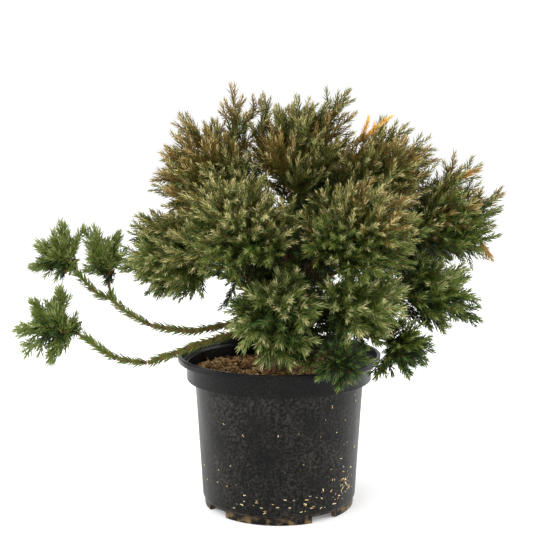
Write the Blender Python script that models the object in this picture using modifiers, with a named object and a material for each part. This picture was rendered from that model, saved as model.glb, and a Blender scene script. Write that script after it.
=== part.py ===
"""Potted globosa nana Japanese cedar: nursery pot, growing mix, stem, boughs and foliage masses.

Metres, +Z up. The origin is the centre of the pot's flat underside, on the pot's axis.
The plant's front, from where its two long arms reach out to the left, faces -Y.
"""

import math
from random import Random

import bmesh
import bpy
from mathutils import Matrix, Vector, noise
from mathutils.bvhtree import BVHTree

COLLECTION_NAME = "potted_japanese_cedar"
CUTTER_COLLECTION_NAME = "cutters"

# Clearances between solids that touch in the real plant
GAP = 0.0003
JOINT_GAP = 0.0005

# Pot, a 19 cm nursery container
LIP_RADIUS = 0.095
LIP_INNER_RADIUS = 0.0915
LIP_DEPTH = 0.0055
POT_HEIGHT = 0.143
COLLAR_RADIUS = 0.0868
COLLAR_TOP = 0.1355
LEDGE_HEIGHT = 0.120
WALL_TOP_RADIUS = 0.0789
WALL_FOOT_RADIUS = 0.0720
WALL_FOOT_HEIGHT = 0.008
WALL_THICKNESS = 0.0014
FOOT_RADIUS = 0.0705
FOOT_WIDTH = 0.0055
FLOOR_HEIGHT = 0.0058
CENTRE_PAD_RADIUS = 0.034
POT_STEPS = 30

# Notches in the foot and the drain holes behind them
NOTCH_COUNT = 4
NOTCH_FIRST_ANGLE = math.radians(-54.5)
NOTCH_WIDTH = 0.0262
NOTCH_HEIGHT = 0.0060
DRAIN_RADIUS = 0.0055
DRAIN_RING_RADIUS = 0.052

# Growing mix
SOIL_LEVEL = 0.1250
SOIL_UNEVENNESS = 0.0022
SOIL_STEPS = 20

# Stem and limbs
LIMB_SIDES_RESOLUTION = 1
LIMB_SAMPLES_PER_SPAN = 2
FLARE_RADIUS = 0.0098
STEM_RADIUS = 0.0068
STEM_TOP_RADIUS = 0.0046
STEM_TOP_HEIGHT = 0.232
SEAT_RAYS = 16
SEAT_RING_SHARES = (0.0, 0.5, 0.85, 1.0, 1.06)
BOUGH_RADIUS = 0.0026
BOUGH_END_RADIUS = 0.0015
LEADER_RADIUS = 0.0034
LONG_REACH = 0.118
ARM_RADIUS = 0.0024
ARM_BEND_RADIUS = 0.0018
ARM_END_RADIUS = 0.0013

# Foliage
MASS_SUBDIVISIONS = 3
CROWN_HEART = (0.020, 0.0, 0.205)
SPIKE_SPACING = math.radians(27.0)
SPIKE_HEIGHT = 0.26
INNER_NARROWING = 0.22
HOLLOW_DEPTH = 0.10
RIM_CLEARANCE = 0.0025
STEM_CLEARANCE = 0.018

# Each mass: centre, half sizes along X, Y and Z, and the furthest shoot tips it has to reach
MASSES = {
    "upper_left": {
        "centre": (-0.066, -0.008, 0.314),
        "reach": (0.049, 0.060, 0.050),
        "tips": [(-0.040, -0.005, 0.391), (-0.080, 0.000, 0.366), (-0.117, -0.010, 0.320)],
    },
    "top": {
        "centre": (0.018, 0.010, 0.330),
        "reach": (0.055, 0.060, 0.050),
        "tips": [
            (-0.014, 0.006, 0.383),
            (0.015, 0.010, 0.382),
            (0.044, 0.010, 0.378),
            (0.065, 0.010, 0.388),
        ],
    },
    "upper_right": {
        "centre": (0.096, -0.004, 0.308),
        "reach": (0.048, 0.060, 0.044),
        "tips": [(0.097, 0.000, 0.361), (0.138, 0.000, 0.331)],
    },
    "right": {
        "centre": (0.158, 0.000, 0.268),
        "reach": (0.040, 0.060, 0.046),
        "tips": [(0.186, 0.000, 0.319), (0.206, -0.005, 0.292), (0.191, -0.010, 0.232)],
    },
    "left": {
        "centre": (-0.098, -0.012, 0.238),
        "reach": (0.042, 0.056, 0.038),
        "tips": [
            (-0.127, -0.010, 0.274),
            (-0.144, -0.030, 0.223),
            (-0.112, -0.035, 0.203),
            (-0.084, -0.040, 0.203),
        ],
    },
    "front_left": {
        "centre": (-0.034, -0.082, 0.268),
        "reach": (0.054, 0.050, 0.046),
        "tips": [(-0.048, -0.124, 0.262), (-0.046, -0.072, 0.218)],
    },
    "front_right": {
        "centre": (0.068, -0.084, 0.266),
        "reach": (0.058, 0.052, 0.044),
        "tips": [(0.080, -0.134, 0.262)],
    },
    "low_front": {
        "centre": (-0.001, -0.074, 0.192),
        "reach": (0.042, 0.036, 0.044),
        "tips": [(-0.041, -0.070, 0.178), (-0.015, -0.068, 0.147), (0.012, -0.108, 0.176)],
    },
    "low_right": {
        "centre": (0.070, -0.068, 0.204),
        "reach": (0.040, 0.040, 0.038),
        "tips": [(0.082, -0.100, 0.176)],
    },
    "outer_right": {
        "centre": (0.138, -0.026, 0.206),
        "reach": (0.036, 0.042, 0.032),
        "tips": [(0.182, -0.030, 0.198), (0.184, -0.030, 0.178), (0.150, -0.034, 0.168)],
    },
    "right_droop": {
        "centre": (0.110, -0.056, 0.164),
        "reach": (0.023, 0.020, 0.026),
        "tips": [(0.132, -0.050, 0.146), (0.115, -0.060, 0.133), (0.084, -0.080, 0.136)],
    },
    "rim_droop": {
        "centre": (0.051, -0.106, 0.157),
        "reach": (0.022, 0.012, 0.019),
        "tips": [(0.033, -0.103, 0.142), (0.052, -0.109, 0.136), (0.067, -0.104, 0.143)],
    },
    "back_left": {
        "centre": (-0.062, 0.084, 0.276),
        "reach": (0.056, 0.052, 0.052),
        "tips": [(-0.075, 0.118, 0.318), (-0.104, 0.112, 0.262)],
    },
    "back_right": {
        "centre": (0.056, 0.088, 0.280),
        "reach": (0.058, 0.054, 0.052),
        "tips": [(0.064, 0.120, 0.328), (0.050, 0.146, 0.268)],
    },
    "back_outer_right": {
        "centre": (0.132, 0.074, 0.236),
        "reach": (0.044, 0.046, 0.042),
        "tips": [(0.168, 0.098, 0.246), (0.150, 0.112, 0.216)],
    },
    "back_low": {
        "centre": (0.010, 0.098, 0.212),
        "reach": (0.052, 0.040, 0.040),
        "tips": [(-0.010, 0.142, 0.200), (0.040, 0.130, 0.178)],
    },
    "back_outer_left": {
        "centre": (-0.104, 0.056, 0.222),
        "reach": (0.040, 0.044, 0.036),
        "tips": [(-0.142, 0.070, 0.226), (-0.118, 0.088, 0.194)],
    },
    "upper_arm_tip": {
        "centre": (-0.204, 0.006, 0.234),
        "reach": (0.023, 0.012, 0.024),
        "tips": [
            (-0.231, 0.000, 0.223),
            (-0.226, 0.010, 0.247),
            (-0.203, 0.015, 0.264),
            (-0.183, 0.012, 0.260),
        ],
    },
    "upper_arm_side": {
        "centre": (-0.163, 0.006, 0.230),
        "reach": (0.017, 0.012, 0.025),
        "tips": [(-0.173, 0.012, 0.262), (-0.149, 0.010, 0.256), (-0.143, 0.000, 0.238)],
    },
    "lower_arm_tip": {
        "centre": (-0.202, -0.028, 0.176),
        "reach": (0.026, 0.012, 0.026),
        "tips": [
            (-0.240, -0.030, 0.170),
            (-0.225, -0.030, 0.198),
            (-0.198, -0.026, 0.210),
            (-0.209, -0.036, 0.141),
        ],
    },
}
MASSES_OVER_POT = ("left", "low_front", "low_right", "outer_right", "back_low", "back_outer_left")
MASSES_BESIDE_POT = ("right_droop", "rim_droop")

# Each bough: the height where it leaves the stem, its heading seen from above,
# and how far its middle bows above a straight line
BOUGHS = {
    "upper_left": (0.222, 183, 0.004),
    "upper_right": (0.224, -3, 0.004),
    "right": (0.208, 0, 0.007),
    "left": (0.205, 186, 0.006),
    "front_left": (0.214, -110, 0.004),
    "front_right": (0.200, -55, 0.004),
    "back_left": (0.216, 125, 0.004),
    "back_right": (0.204, 60, 0.004),
    "back_outer_right": (0.190, 30, 0.006),
    "back_outer_left": (0.188, 150, 0.006),
    "back_low": (0.180, 88, 0.006),
    "low_front": (0.182, -92, 0.005),
    "low_right": (0.171, -47, 0.003),
    "outer_right": (0.178, -10, 0.006),
    "right_droop": (0.161, -27, 0.008),
    "rim_droop": (0.151, -64, 0.004),
}

# The two long arms: points from the stem to the fan of foliage, and which point is the bend
UPPER_ARM_STEM_HEIGHT = 0.172
UPPER_ARM = [
    (-0.036, -0.014, 0.1745),
    (-0.080, -0.020, 0.1675),
    (-0.119, -0.015, 0.1720),
    (-0.147, 0.000, 0.1850),
    (-0.157, 0.005, 0.1960),
]
LOWER_ARM_STEM_HEIGHT = 0.159
LOWER_ARM = [
    (-0.042, -0.028, 0.1660),
    (-0.090, -0.030, 0.1505),
    (-0.120, -0.030, 0.1395),
    (-0.150, -0.030, 0.1450),
    (-0.174, -0.030, 0.1620),
]
ARM_BEND_INDEX = 2

# The upper arm forks on its last stretch, and the fork first heads out and up by this much
FORK_SHARE = 0.6
FORK_STEP = (-0.018, 0.0, 0.008)

COLORS = {
    "pot": ((0.012, 0.012, 0.013), 0.38),
    "growing_mix": ((0.30, 0.18, 0.09), 0.95),
    "bark": ((0.22, 0.13, 0.07), 0.85),
    "foliage": ((0.10, 0.17, 0.06), 0.80),
    "foliage_bronze": ((0.22, 0.19, 0.09), 0.80),
}
BRONZE_MASSES = ("upper_left", "top", "upper_right", "right", "back_left", "back_right")


def clear_scene():
    for scene_object in list(bpy.data.objects):
        bpy.data.objects.remove(scene_object, do_unlink=True)


def make_collection(name):
    collection = bpy.data.collections.new(name)
    bpy.context.scene.collection.children.link(collection)
    return collection


def make_material(name):
    color, roughness = COLORS[name]
    material = bpy.data.materials.new(name)
    material.use_nodes = True
    shader = material.node_tree.nodes["Principled BSDF"]
    shader.inputs["Base Color"].default_value = (*color, 1.0)
    shader.inputs["Roughness"].default_value = roughness
    shader.inputs["Metallic"].default_value = 0.0
    return material


def add_object(name, data, collection, material=None):
    new_object = bpy.data.objects.new(name, data)
    if material is not None:
        data.materials.append(material)
    collection.objects.link(new_object)
    return new_object


def add_cutter(name, mesh, collection):
    cutter = add_object(name, mesh, collection)
    cutter.hide_render = True
    cutter.display_type = "WIRE"
    return cutter


def turned_object(name, section, steps, collection, material):
    """Turns a section, drawn at +X and closed on the axis, once round Z."""
    mesh = bpy.data.meshes.new(name)
    points = [(radius, 0.0, height) for radius, height in section]
    edges = [(i, i + 1) for i in range(len(points) - 1)]
    mesh.from_pydata(points, edges, [])
    turned = add_object(name, mesh, collection, material)
    screw = turned.modifiers.new("turn", "SCREW")
    screw.steps = steps
    screw.render_steps = steps
    screw.use_merge_vertices = True
    screw.merge_threshold = 0.00005
    screw.use_smooth_shade = True
    return turned


def pot_section():
    """The wall's closed section: out over the floor, up inside, over the lip, down outside, in below."""
    floor_top = FLOOR_HEIGHT + WALL_THICKNESS
    foot_inner = FOOT_RADIUS - FOOT_WIDTH
    edge = 0.0008
    return [
        (0.0, WALL_THICKNESS),
        (CENTRE_PAD_RADIUS - WALL_THICKNESS, WALL_THICKNESS),
        (CENTRE_PAD_RADIUS, floor_top),
        (WALL_FOOT_RADIUS - WALL_THICKNESS - edge, floor_top),
        (WALL_FOOT_RADIUS - WALL_THICKNESS, floor_top + edge),
        (WALL_TOP_RADIUS - WALL_THICKNESS, LEDGE_HEIGHT),
        (COLLAR_RADIUS - WALL_THICKNESS, LEDGE_HEIGHT + WALL_THICKNESS),
        (COLLAR_RADIUS - WALL_THICKNESS, COLLAR_TOP),
        (LIP_INNER_RADIUS, POT_HEIGHT - edge),
        (LIP_INNER_RADIUS + edge, POT_HEIGHT),
        (LIP_RADIUS - edge, POT_HEIGHT),
        (LIP_RADIUS, POT_HEIGHT - edge),
        (LIP_RADIUS, POT_HEIGHT - LIP_DEPTH),
        (COLLAR_RADIUS, COLLAR_TOP),
        (COLLAR_RADIUS, LEDGE_HEIGHT),
        (WALL_TOP_RADIUS, LEDGE_HEIGHT - WALL_THICKNESS),
        (WALL_FOOT_RADIUS, WALL_FOOT_HEIGHT),
        (FOOT_RADIUS, WALL_FOOT_HEIGHT - edge),
        (FOOT_RADIUS, 0.0),
        (foot_inner, 0.0),
        (foot_inner, FLOOR_HEIGHT),
        (CENTRE_PAD_RADIUS, FLOOR_HEIGHT),
        (CENTRE_PAD_RADIUS, 0.0),
        (0.0, 0.0),
    ]


def notch_angles():
    step = 2.0 * math.pi / NOTCH_COUNT
    front = -0.5 * math.pi
    return [front + NOTCH_FIRST_ANGLE + i * step for i in range(NOTCH_COUNT)]


def notch_cutter(name, angle, collection):
    """A block that passes through the foot ring at one angle."""
    form = bmesh.new()
    bmesh.ops.create_cube(form, size=1.0)
    size = Matrix.Diagonal((3.0 * FOOT_WIDTH, NOTCH_WIDTH, 2.0 * NOTCH_HEIGHT, 1.0))
    place = Matrix.Rotation(angle, 4, "Z") @ Matrix.Translation((FOOT_RADIUS, 0.0, 0.0))
    bmesh.ops.transform(form, matrix=place @ size, verts=form.verts)
    mesh = bpy.data.meshes.new(name)
    form.to_mesh(mesh)
    form.free()
    return add_cutter(name, mesh, collection)


def drain_cutter(name, angle, collection):
    """A peg that passes through the raised floor behind one notch."""
    form = bmesh.new()
    bmesh.ops.create_cone(
        form,
        cap_ends=True,
        segments=12,
        radius1=DRAIN_RADIUS,
        radius2=DRAIN_RADIUS,
        depth=4.0 * WALL_THICKNESS,
    )
    centre = (
        DRAIN_RING_RADIUS * math.cos(angle),
        DRAIN_RING_RADIUS * math.sin(angle),
        FLOOR_HEIGHT + 0.5 * WALL_THICKNESS,
    )
    bmesh.ops.translate(form, vec=centre, verts=form.verts)
    mesh = bpy.data.meshes.new(name)
    form.to_mesh(mesh)
    form.free()
    return add_cutter(name, mesh, collection)


def make_pot(collection, cutters, material):
    pot = turned_object("pot", pot_section(), POT_STEPS, collection, material)
    for number, angle in enumerate(notch_angles()):
        tools = (
            notch_cutter(f"notch_cutter_{number}", angle, cutters),
            drain_cutter(f"drain_cutter_{number}", angle, cutters),
        )
        for tool in tools:
            cut = pot.modifiers.new(tool.name, "BOOLEAN")
            cut.operation = "DIFFERENCE"
            cut.solver = "EXACT"
            cut.object = tool
    return pot


def soil_section():
    """The growing mix fills the pot from its raised floor to a little above the ledge."""
    bottom = FLOOR_HEIGHT + WALL_THICKNESS + GAP
    foot = WALL_FOOT_RADIUS - WALL_THICKNESS - 0.0015
    neck = WALL_TOP_RADIUS - WALL_THICKNESS - JOINT_GAP
    rim = COLLAR_RADIUS - WALL_THICKNESS - JOINT_GAP
    shoulder = LEDGE_HEIGHT + WALL_THICKNESS + GAP
    rings = [rim * share for share in (0.2, 0.4, 0.6, 0.8, 1.0)]
    top = [(0.0, SOIL_LEVEL)] + [(radius, SOIL_LEVEL) for radius in rings]
    side = [(rim, shoulder), (neck, shoulder), (neck - 0.0002, shoulder - 0.003), (foot, bottom)]
    return top + side + [(0.0, bottom)]


def make_growing_mix(collection, material):
    """The top is uneven, apart from a level patch where the stem stands."""
    turned = turned_object("growing_mix", soil_section(), SOIL_STEPS, collection, material)
    depsgraph = bpy.context.evaluated_depsgraph_get()
    mesh = bpy.data.meshes.new_from_object(turned.evaluated_get(depsgraph))
    turned.modifiers.clear()
    turned.data = mesh
    level_radius = 0.02
    for vertex in mesh.vertices:
        if vertex.co.z < SOIL_LEVEL - 0.0001:
            continue
        radius = Vector((vertex.co.x, vertex.co.y)).length
        share = min(1.0, max(0.0, radius - level_radius) / level_radius)
        swell = noise.noise(Vector((vertex.co.x * 38.0, vertex.co.y * 38.0, 2.5)))
        vertex.co.z += SOIL_UNEVENNESS * share * swell
    return turned


def surface_tree(scene_object):
    """A search tree of an object's evaluated surface."""
    depsgraph = bpy.context.evaluated_depsgraph_get()
    evaluated = scene_object.evaluated_get(depsgraph)
    mesh = evaluated.to_mesh()
    points = [vertex.co.copy() for vertex in mesh.vertices]
    faces = [list(polygon.vertices) for polygon in mesh.polygons]
    evaluated.to_mesh_clear()
    return BVHTree.FromPolygons(points, faces)


def seat(start, aim, radius, tree):
    """The point on the way from start to aim where a limb's end meets a surface, less the gap."""
    heading = (aim - start).normalized()
    side = heading.orthogonal().normalized()
    nearest = (aim - start).length
    for share in SEAT_RING_SHARES:
        for i in range(SEAT_RAYS):
            turn = Matrix.Rotation(2.0 * math.pi * i / SEAT_RAYS, 3, heading)
            distance = tree.ray_cast(start + turn @ side * radius * share, heading)[3]
            if distance is not None:
                nearest = min(nearest, distance)
    return start + heading * (nearest - JOINT_GAP)


def smooth_path(points):
    """A Catmull-Rom curve through the points, sampled evenly in each span."""
    ends = [2.0 * points[0] - points[1]] + points + [2.0 * points[-1] - points[-2]]
    path = []
    for i in range(1, len(ends) - 2):
        before, start, end, after = ends[i - 1 : i + 3]
        for step in range(LIMB_SAMPLES_PER_SPAN):
            t = step / LIMB_SAMPLES_PER_SPAN
            path.append(
                0.5
                * (
                    2.0 * start
                    + (end - before) * t
                    + (2.0 * before - 5.0 * start + 4.0 * end - after) * t**2
                    + (3.0 * start - before - 3.0 * end + after) * t**3
                )
            )
    path.append(points[-1].copy())
    return path


def limb(name, path, radii, collection, material):
    """A limb along its path, with one radius for each point."""
    curve = bpy.data.curves.new(name, "CURVE")
    curve.dimensions = "3D"
    curve.bevel_depth = 1.0
    curve.bevel_resolution = LIMB_SIDES_RESOLUTION
    curve.use_fill_caps = True
    spline = curve.splines.new("POLY")
    spline.points.add(len(path) - 1)
    for point, place, radius in zip(spline.points, path, radii):
        point.co = (*place, 1.0)
        point.radius = radius
    return add_object(name, curve, collection, material)


def tapering_radii(path, first, last):
    """Radii that fall evenly with the distance along the path."""
    lengths = [0.0]
    for a, b in zip(path, path[1:]):
        lengths.append(lengths[-1] + (b - a).length)
    return [first + (last - first) * length / lengths[-1] for length in lengths]


def stem_axis(height):
    """The stem leans a little to the right and back as it rises."""
    rise = (height - SOIL_LEVEL) / (STEM_TOP_HEIGHT - SOIL_LEVEL)
    return Vector((0.008 * rise - 0.003 * math.sin(math.pi * rise), 0.004 * rise, height))


def make_trunk(collection, material):
    """The stem from its flat foot, with its flare, to its fork."""
    foot = SOIL_LEVEL + GAP
    flare_heights = (foot, foot + 0.002, foot + 0.006, foot + 0.012)
    flare_shares = (1.0, 0.72, 0.30, 0.0)
    spans = 6
    step = (STEM_TOP_HEIGHT - flare_heights[-1]) / spans
    heights = list(flare_heights) + [flare_heights[-1] + step * (i + 1) for i in range(spans)]
    shares = list(flare_shares) + [0.0] * spans
    path = [stem_axis(height) for height in heights]
    path[1].xy = path[0].xy
    radii = []
    for height, share in zip(heights, shares):
        rise = (height - SOIL_LEVEL) / (STEM_TOP_HEIGHT - SOIL_LEVEL)
        plain = STEM_RADIUS + (STEM_TOP_RADIUS - STEM_RADIUS) * rise
        radii.append(plain + (FLARE_RADIUS - STEM_RADIUS) * share)
    return limb("trunk", path, radii, collection, material)


def mean_reach(mass):
    return sum(mass["reach"]) / 3.0


def dividing_planes(name):
    """The planes that part a mass from its neighbours, from the pot and from the stem."""
    mass = MASSES[name]
    centre = Vector(mass["centre"])
    planes = []
    for other_name, other in MASSES.items():
        if other_name == name:
            continue
        apart = Vector(other["centre"]) - centre
        span = apart.length
        middle = (span**2 + mean_reach(mass) ** 2 - mean_reach(other) ** 2) / (2.0 * span)
        planes.append((middle - 2.0 * GAP, apart / span))
    if name in MASSES_OVER_POT:
        planes.append((centre.z - POT_HEIGHT - RIM_CLEARANCE, Vector((0.0, 0.0, -1.0))))
    outward = Vector((centre.x, centre.y, 0.0))
    clear_radius = STEM_CLEARANCE
    if name in MASSES_BESIDE_POT:
        clear_radius = LIP_RADIUS + RIM_CLEARANCE
    if centre.z < STEM_TOP_HEIGHT + 2.0 * BOUGH_RADIUS or name in MASSES_BESIDE_POT:
        planes.append((outward.length - clear_radius, -outward.normalized()))
    return planes


def spike_vertices(headings, growth, random):
    """Vertices on the outer side, well apart, that stand out as bunched shoot tips."""
    chosen = []
    candidates = [vertex for vertex, heading in headings.items() if heading.dot(growth) > -0.2]
    random.shuffle(candidates)
    for vertex in candidates:
        if all(headings[vertex].angle(headings[other]) > SPIKE_SPACING for other in chosen):
            chosen.append(vertex)
    return chosen


def plain_reach(heading, growth, half_sizes):
    """An ellipsoid that narrows towards the bough that carries it."""
    squares = sum((heading[i] / half_sizes[i]) ** 2 for i in range(3))
    inward = 0.5 * (1.0 - heading.dot(growth))
    return (1.0 - INNER_NARROWING * inward) / math.sqrt(squares)


def clipped(offset, planes):
    """Draws a point back towards the centre until it is inside every plane."""
    share = 1.0
    for distance, normal in planes:
        beyond = offset.dot(normal)
        if beyond > distance:
            share = min(share, distance / beyond)
    return offset * share


def make_mass(name, seed, collection, material):
    """One closed, uneven mass of foliage that reaches its furthest shoot tips."""
    mass = MASSES[name]
    centre = Vector(mass["centre"])
    growth = (centre - Vector(CROWN_HEART)).normalized()
    planes = dividing_planes(name)
    random = Random(seed)
    form = bmesh.new()
    bmesh.ops.create_icosphere(form, subdivisions=MASS_SUBDIVISIONS, radius=1.0)
    headings = {vertex: vertex.co.normalized() for vertex in form.verts}
    for vertex, heading in headings.items():
        hollow = HOLLOW_DEPTH * random.random()
        vertex.co = heading * plain_reach(heading, growth, mass["reach"]) * (1.0 - hollow)
    for vertex in spike_vertices(headings, growth, random):
        vertex.co *= 1.0 + SPIKE_HEIGHT * random.uniform(0.4, 1.0)
    for tip in mass["tips"]:
        offset = Vector(tip) - centre
        aim = offset.normalized()
        nearest = max(headings, key=lambda vertex: headings[vertex].dot(aim))
        nearest.co = offset
    for vertex in form.verts:
        vertex.co = clipped(vertex.co, planes) + centre
    mesh = bpy.data.meshes.new(f"foliage_{name}")
    form.to_mesh(mesh)
    form.free()
    return add_object(f"foliage_{name}", mesh, collection, material)


def make_bough(name, trunk_tree, mass_tree, collection, material):
    """A limb from the stem's side to the surface of its mass."""
    height, turn, bow = BOUGHS[name]
    root = stem_axis(height)
    turn = math.radians(turn)
    aim = Vector(MASSES[name]["centre"])
    outward = Vector((math.cos(turn), math.sin(turn), 0.0))
    reach = aim - root
    shoulder = root + outward * 0.020 + Vector((0.0, 0.0, 0.20 * reach.z))
    first = seat(shoulder, root, BOUGH_RADIUS, trunk_tree)
    points = [first, shoulder]
    if reach.length > LONG_REACH:
        points.append(root + reach * 0.45 + Vector((0.0, 0.0, bow)))
    points.append(seat(points[-1], aim, BOUGH_END_RADIUS, mass_tree))
    path = smooth_path(points)
    radii = tapering_radii(path, BOUGH_RADIUS, BOUGH_END_RADIUS)
    return limb(f"bough_{name}", path, radii, collection, material)


def make_leader(trunk_top, mass_tree, collection, material):
    """The bough that carries on from the top of the stem."""
    start = trunk_top + Vector((0.0, 0.0, JOINT_GAP))
    last = seat(start, Vector(MASSES["top"]["centre"]), BOUGH_END_RADIUS, mass_tree)
    path = smooth_path([start, start.lerp(last, 0.5), last])
    path[1].xy = path[0].xy
    radii = tapering_radii(path, LEADER_RADIUS, BOUGH_END_RADIUS)
    return limb("bough_top", path, radii, collection, material)


def make_arm(name, stem_height, points, trunk_tree, mass_tree, aim, collection, material):
    """A long arm in two limbs, parted at its bend, from the stem to its fan of foliage."""
    route = [Vector(point) for point in points]
    root = stem_axis(stem_height)
    first = seat(route[0], root, ARM_RADIUS, trunk_tree)
    last = seat(route[-1], aim, ARM_END_RADIUS, mass_tree)
    inner_path = smooth_path([first] + route[: ARM_BEND_INDEX + 1])
    outer_path = smooth_path(route[ARM_BEND_INDEX:] + [last])
    heading = (outer_path[1] - outer_path[0]).normalized()
    inner_path[-1] = inner_path[-1] - heading * JOINT_GAP
    outer_path[0] = outer_path[0] + heading * JOINT_GAP
    inner_radii = tapering_radii(inner_path, ARM_RADIUS, ARM_BEND_RADIUS)
    outer_radii = tapering_radii(outer_path, ARM_BEND_RADIUS, ARM_END_RADIUS)
    limb(f"{name}_inner", inner_path, inner_radii, collection, material)
    return limb(f"{name}_outer", outer_path, outer_radii, collection, material)


def make_side_arm(arm_tree, mass_tree, collection, material):
    """The fork of the upper arm that carries its outer fan."""
    root = Vector(UPPER_ARM[-2]).lerp(Vector(UPPER_ARM[-1]), FORK_SHARE)
    middle = root + Vector(FORK_STEP)
    first = seat(middle, root, ARM_END_RADIUS, arm_tree)
    aim = Vector(MASSES["upper_arm_tip"]["centre"])
    last = seat(middle, aim, ARM_END_RADIUS, mass_tree)
    path = smooth_path([first, middle, last])
    radii = tapering_radii(path, ARM_END_RADIUS, ARM_END_RADIUS)
    return limb("upper_arm_fork", path, radii, collection, material)


def build():
    clear_scene()
    collection = make_collection(COLLECTION_NAME)
    cutters = make_collection(CUTTER_COLLECTION_NAME)
    materials = {name: make_material(name) for name in COLORS}
    bark = materials["bark"]
    make_pot(collection, cutters, materials["pot"])
    make_growing_mix(collection, materials["growing_mix"])
    trunk = make_trunk(collection, bark)
    trees = {}
    for seed, name in enumerate(MASSES):
        tint = "foliage_bronze" if name in BRONZE_MASSES else "foliage"
        mass_object = make_mass(name, seed, collection, materials[tint])
        trees[name] = surface_tree(mass_object)
    trunk_tree = surface_tree(trunk)
    for name in BOUGHS:
        make_bough(name, trunk_tree, trees[name], collection, bark)
    make_leader(stem_axis(STEM_TOP_HEIGHT), trees["top"], collection, bark)
    aim = Vector(MASSES["lower_arm_tip"]["centre"])
    make_arm(
        "lower_arm", LOWER_ARM_STEM_HEIGHT, LOWER_ARM, trunk_tree,
        trees["lower_arm_tip"], aim, collection, bark,
    )
    aim = Vector(MASSES["upper_arm_side"]["centre"])
    upper_outer = make_arm(
        "upper_arm", UPPER_ARM_STEM_HEIGHT, UPPER_ARM, trunk_tree,
        trees["upper_arm_side"], aim, collection, bark,
    )
    make_side_arm(surface_tree(upper_outer), trees["upper_arm_tip"], collection, bark)


build()
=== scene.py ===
import math
from collections import namedtuple

import bpy
import numpy as np
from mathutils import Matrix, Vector, noise
from mathutils.bvhtree import BVHTree


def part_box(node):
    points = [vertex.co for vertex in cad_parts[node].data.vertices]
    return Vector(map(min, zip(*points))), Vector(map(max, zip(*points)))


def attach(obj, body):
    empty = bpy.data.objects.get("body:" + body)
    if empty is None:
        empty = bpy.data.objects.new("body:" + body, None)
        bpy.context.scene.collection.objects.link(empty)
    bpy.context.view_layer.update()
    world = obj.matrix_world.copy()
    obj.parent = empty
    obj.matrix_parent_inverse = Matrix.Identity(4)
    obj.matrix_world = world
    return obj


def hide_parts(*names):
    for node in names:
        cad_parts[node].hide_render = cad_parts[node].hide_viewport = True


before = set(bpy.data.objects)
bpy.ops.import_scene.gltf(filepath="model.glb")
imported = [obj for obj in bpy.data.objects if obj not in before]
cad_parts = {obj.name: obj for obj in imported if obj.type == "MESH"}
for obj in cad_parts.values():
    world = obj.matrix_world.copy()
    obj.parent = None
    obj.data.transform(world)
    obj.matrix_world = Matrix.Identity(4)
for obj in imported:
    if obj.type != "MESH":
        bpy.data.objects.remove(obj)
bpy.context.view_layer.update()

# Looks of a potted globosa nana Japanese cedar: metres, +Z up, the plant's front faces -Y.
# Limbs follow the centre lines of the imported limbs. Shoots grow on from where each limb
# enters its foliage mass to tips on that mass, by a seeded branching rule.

SEED = 7233
CHIP_SEED = SEED + 1
FLAKE_SEED = SEED + 2
TIP_SEED = SEED + 100
MASS_SEED = SEED + 200
ARM_SEED = SEED + 300
INNER_SEED = SEED + 400

UP = np.array([0.0, 0.0, 1.0])
GOLDEN_ANGLE = math.radians(137.5)
NEAR_ZERO = 1e-9
NUDGE = 1e-6
OFF_VERTICAL = 0.01

# Decimals of a metre to which points are rounded: a limb's, a mass's, and a photographed tip's
RING_DECIMALS = 6
MASS_DECIMALS = 5
TIP_DECIMALS = 3

# Camera, fitted to the photograph's rim and foot ellipses
CAMERA_PLACE = (-0.0024, -0.983, 0.353)
CAMERA_DIP = math.radians(7.99)
CAMERA_LENS = 69.51
SENSOR_WIDTH = 36.0

# The photograph in pixels: the focal length, the pot's axis and the middle row
PHOTO_FOCAL = 1067.8
PHOTO_AXIS_COLUMN = 279.1
PHOTO_MIDDLE_ROW = 276.5

# Pot
LIP_RADIUS = 0.0950
LIP_INNER_RADIUS = 0.0915
LIP_DEPTH = 0.0055
POT_HEIGHT = 0.1430
COLLAR_RADIUS = 0.0868
COLLAR_TOP = 0.1355
LEDGE_HEIGHT = 0.1200
WALL_TOP_RADIUS = 0.0789
WALL_FOOT_RADIUS = 0.0720
WALL_FOOT_HEIGHT = 0.0080
WALL_THICKNESS = 0.0014
FOOT_RADIUS = 0.0705
FOOT_WIDTH = 0.0055
FLOOR_HEIGHT = 0.0058
NOTCH_COUNT = 4
NOTCH_FIRST_ANGLE = math.radians(-54.5)
NOTCH_WIDTH = 0.0262
NOTCH_HEIGHT = 0.0060
NOTCH_REACH = 3.2 * FOOT_WIDTH
NOTCH_BEVEL = 0.0022
POT_STEPS = 192
POT_SHARP_ANGLE = math.radians(35.0)

# Over this much either side of the ledge the dust film goes from full on the wall to a quarter on the
# collar above, which stays darker; dried dirt fades out up the foot
LEDGE_BLEND = 0.002
DIRT_TOP = 0.010
DIRT_FULL = 0.002

# Rounded edges, small steps and slopes of the pot's section
AXIS_GAP = 0.0002
EDGE_RADIUS = 0.0009
LIP_SLOPE = 0.0012
GROOVE_DEPTH = 0.00035
GROOVE_TOP = 0.0021
GROOVE_SHOULDER = 0.0024
GROOVE_END = 0.0047
UNDER_LIP_WIDTH = 0.0010
UNDER_LIP_DROP = 0.0006
COLLAR_EASE = 0.0010
COLLAR_TAPER = 0.0003
LEDGE_EDGE = 0.0008
LEDGE_LAP = 0.0012
LEDGE_DROP = 0.0006
LEDGE_EASE = 0.0010
FOOT_BEAD = 0.0002
FOOT_BEAD_RISE = 0.0012
FOOT_TUCK = 0.0004
FOOT_EASE = 0.0010
FOOT_EDGE = 0.0006

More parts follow.
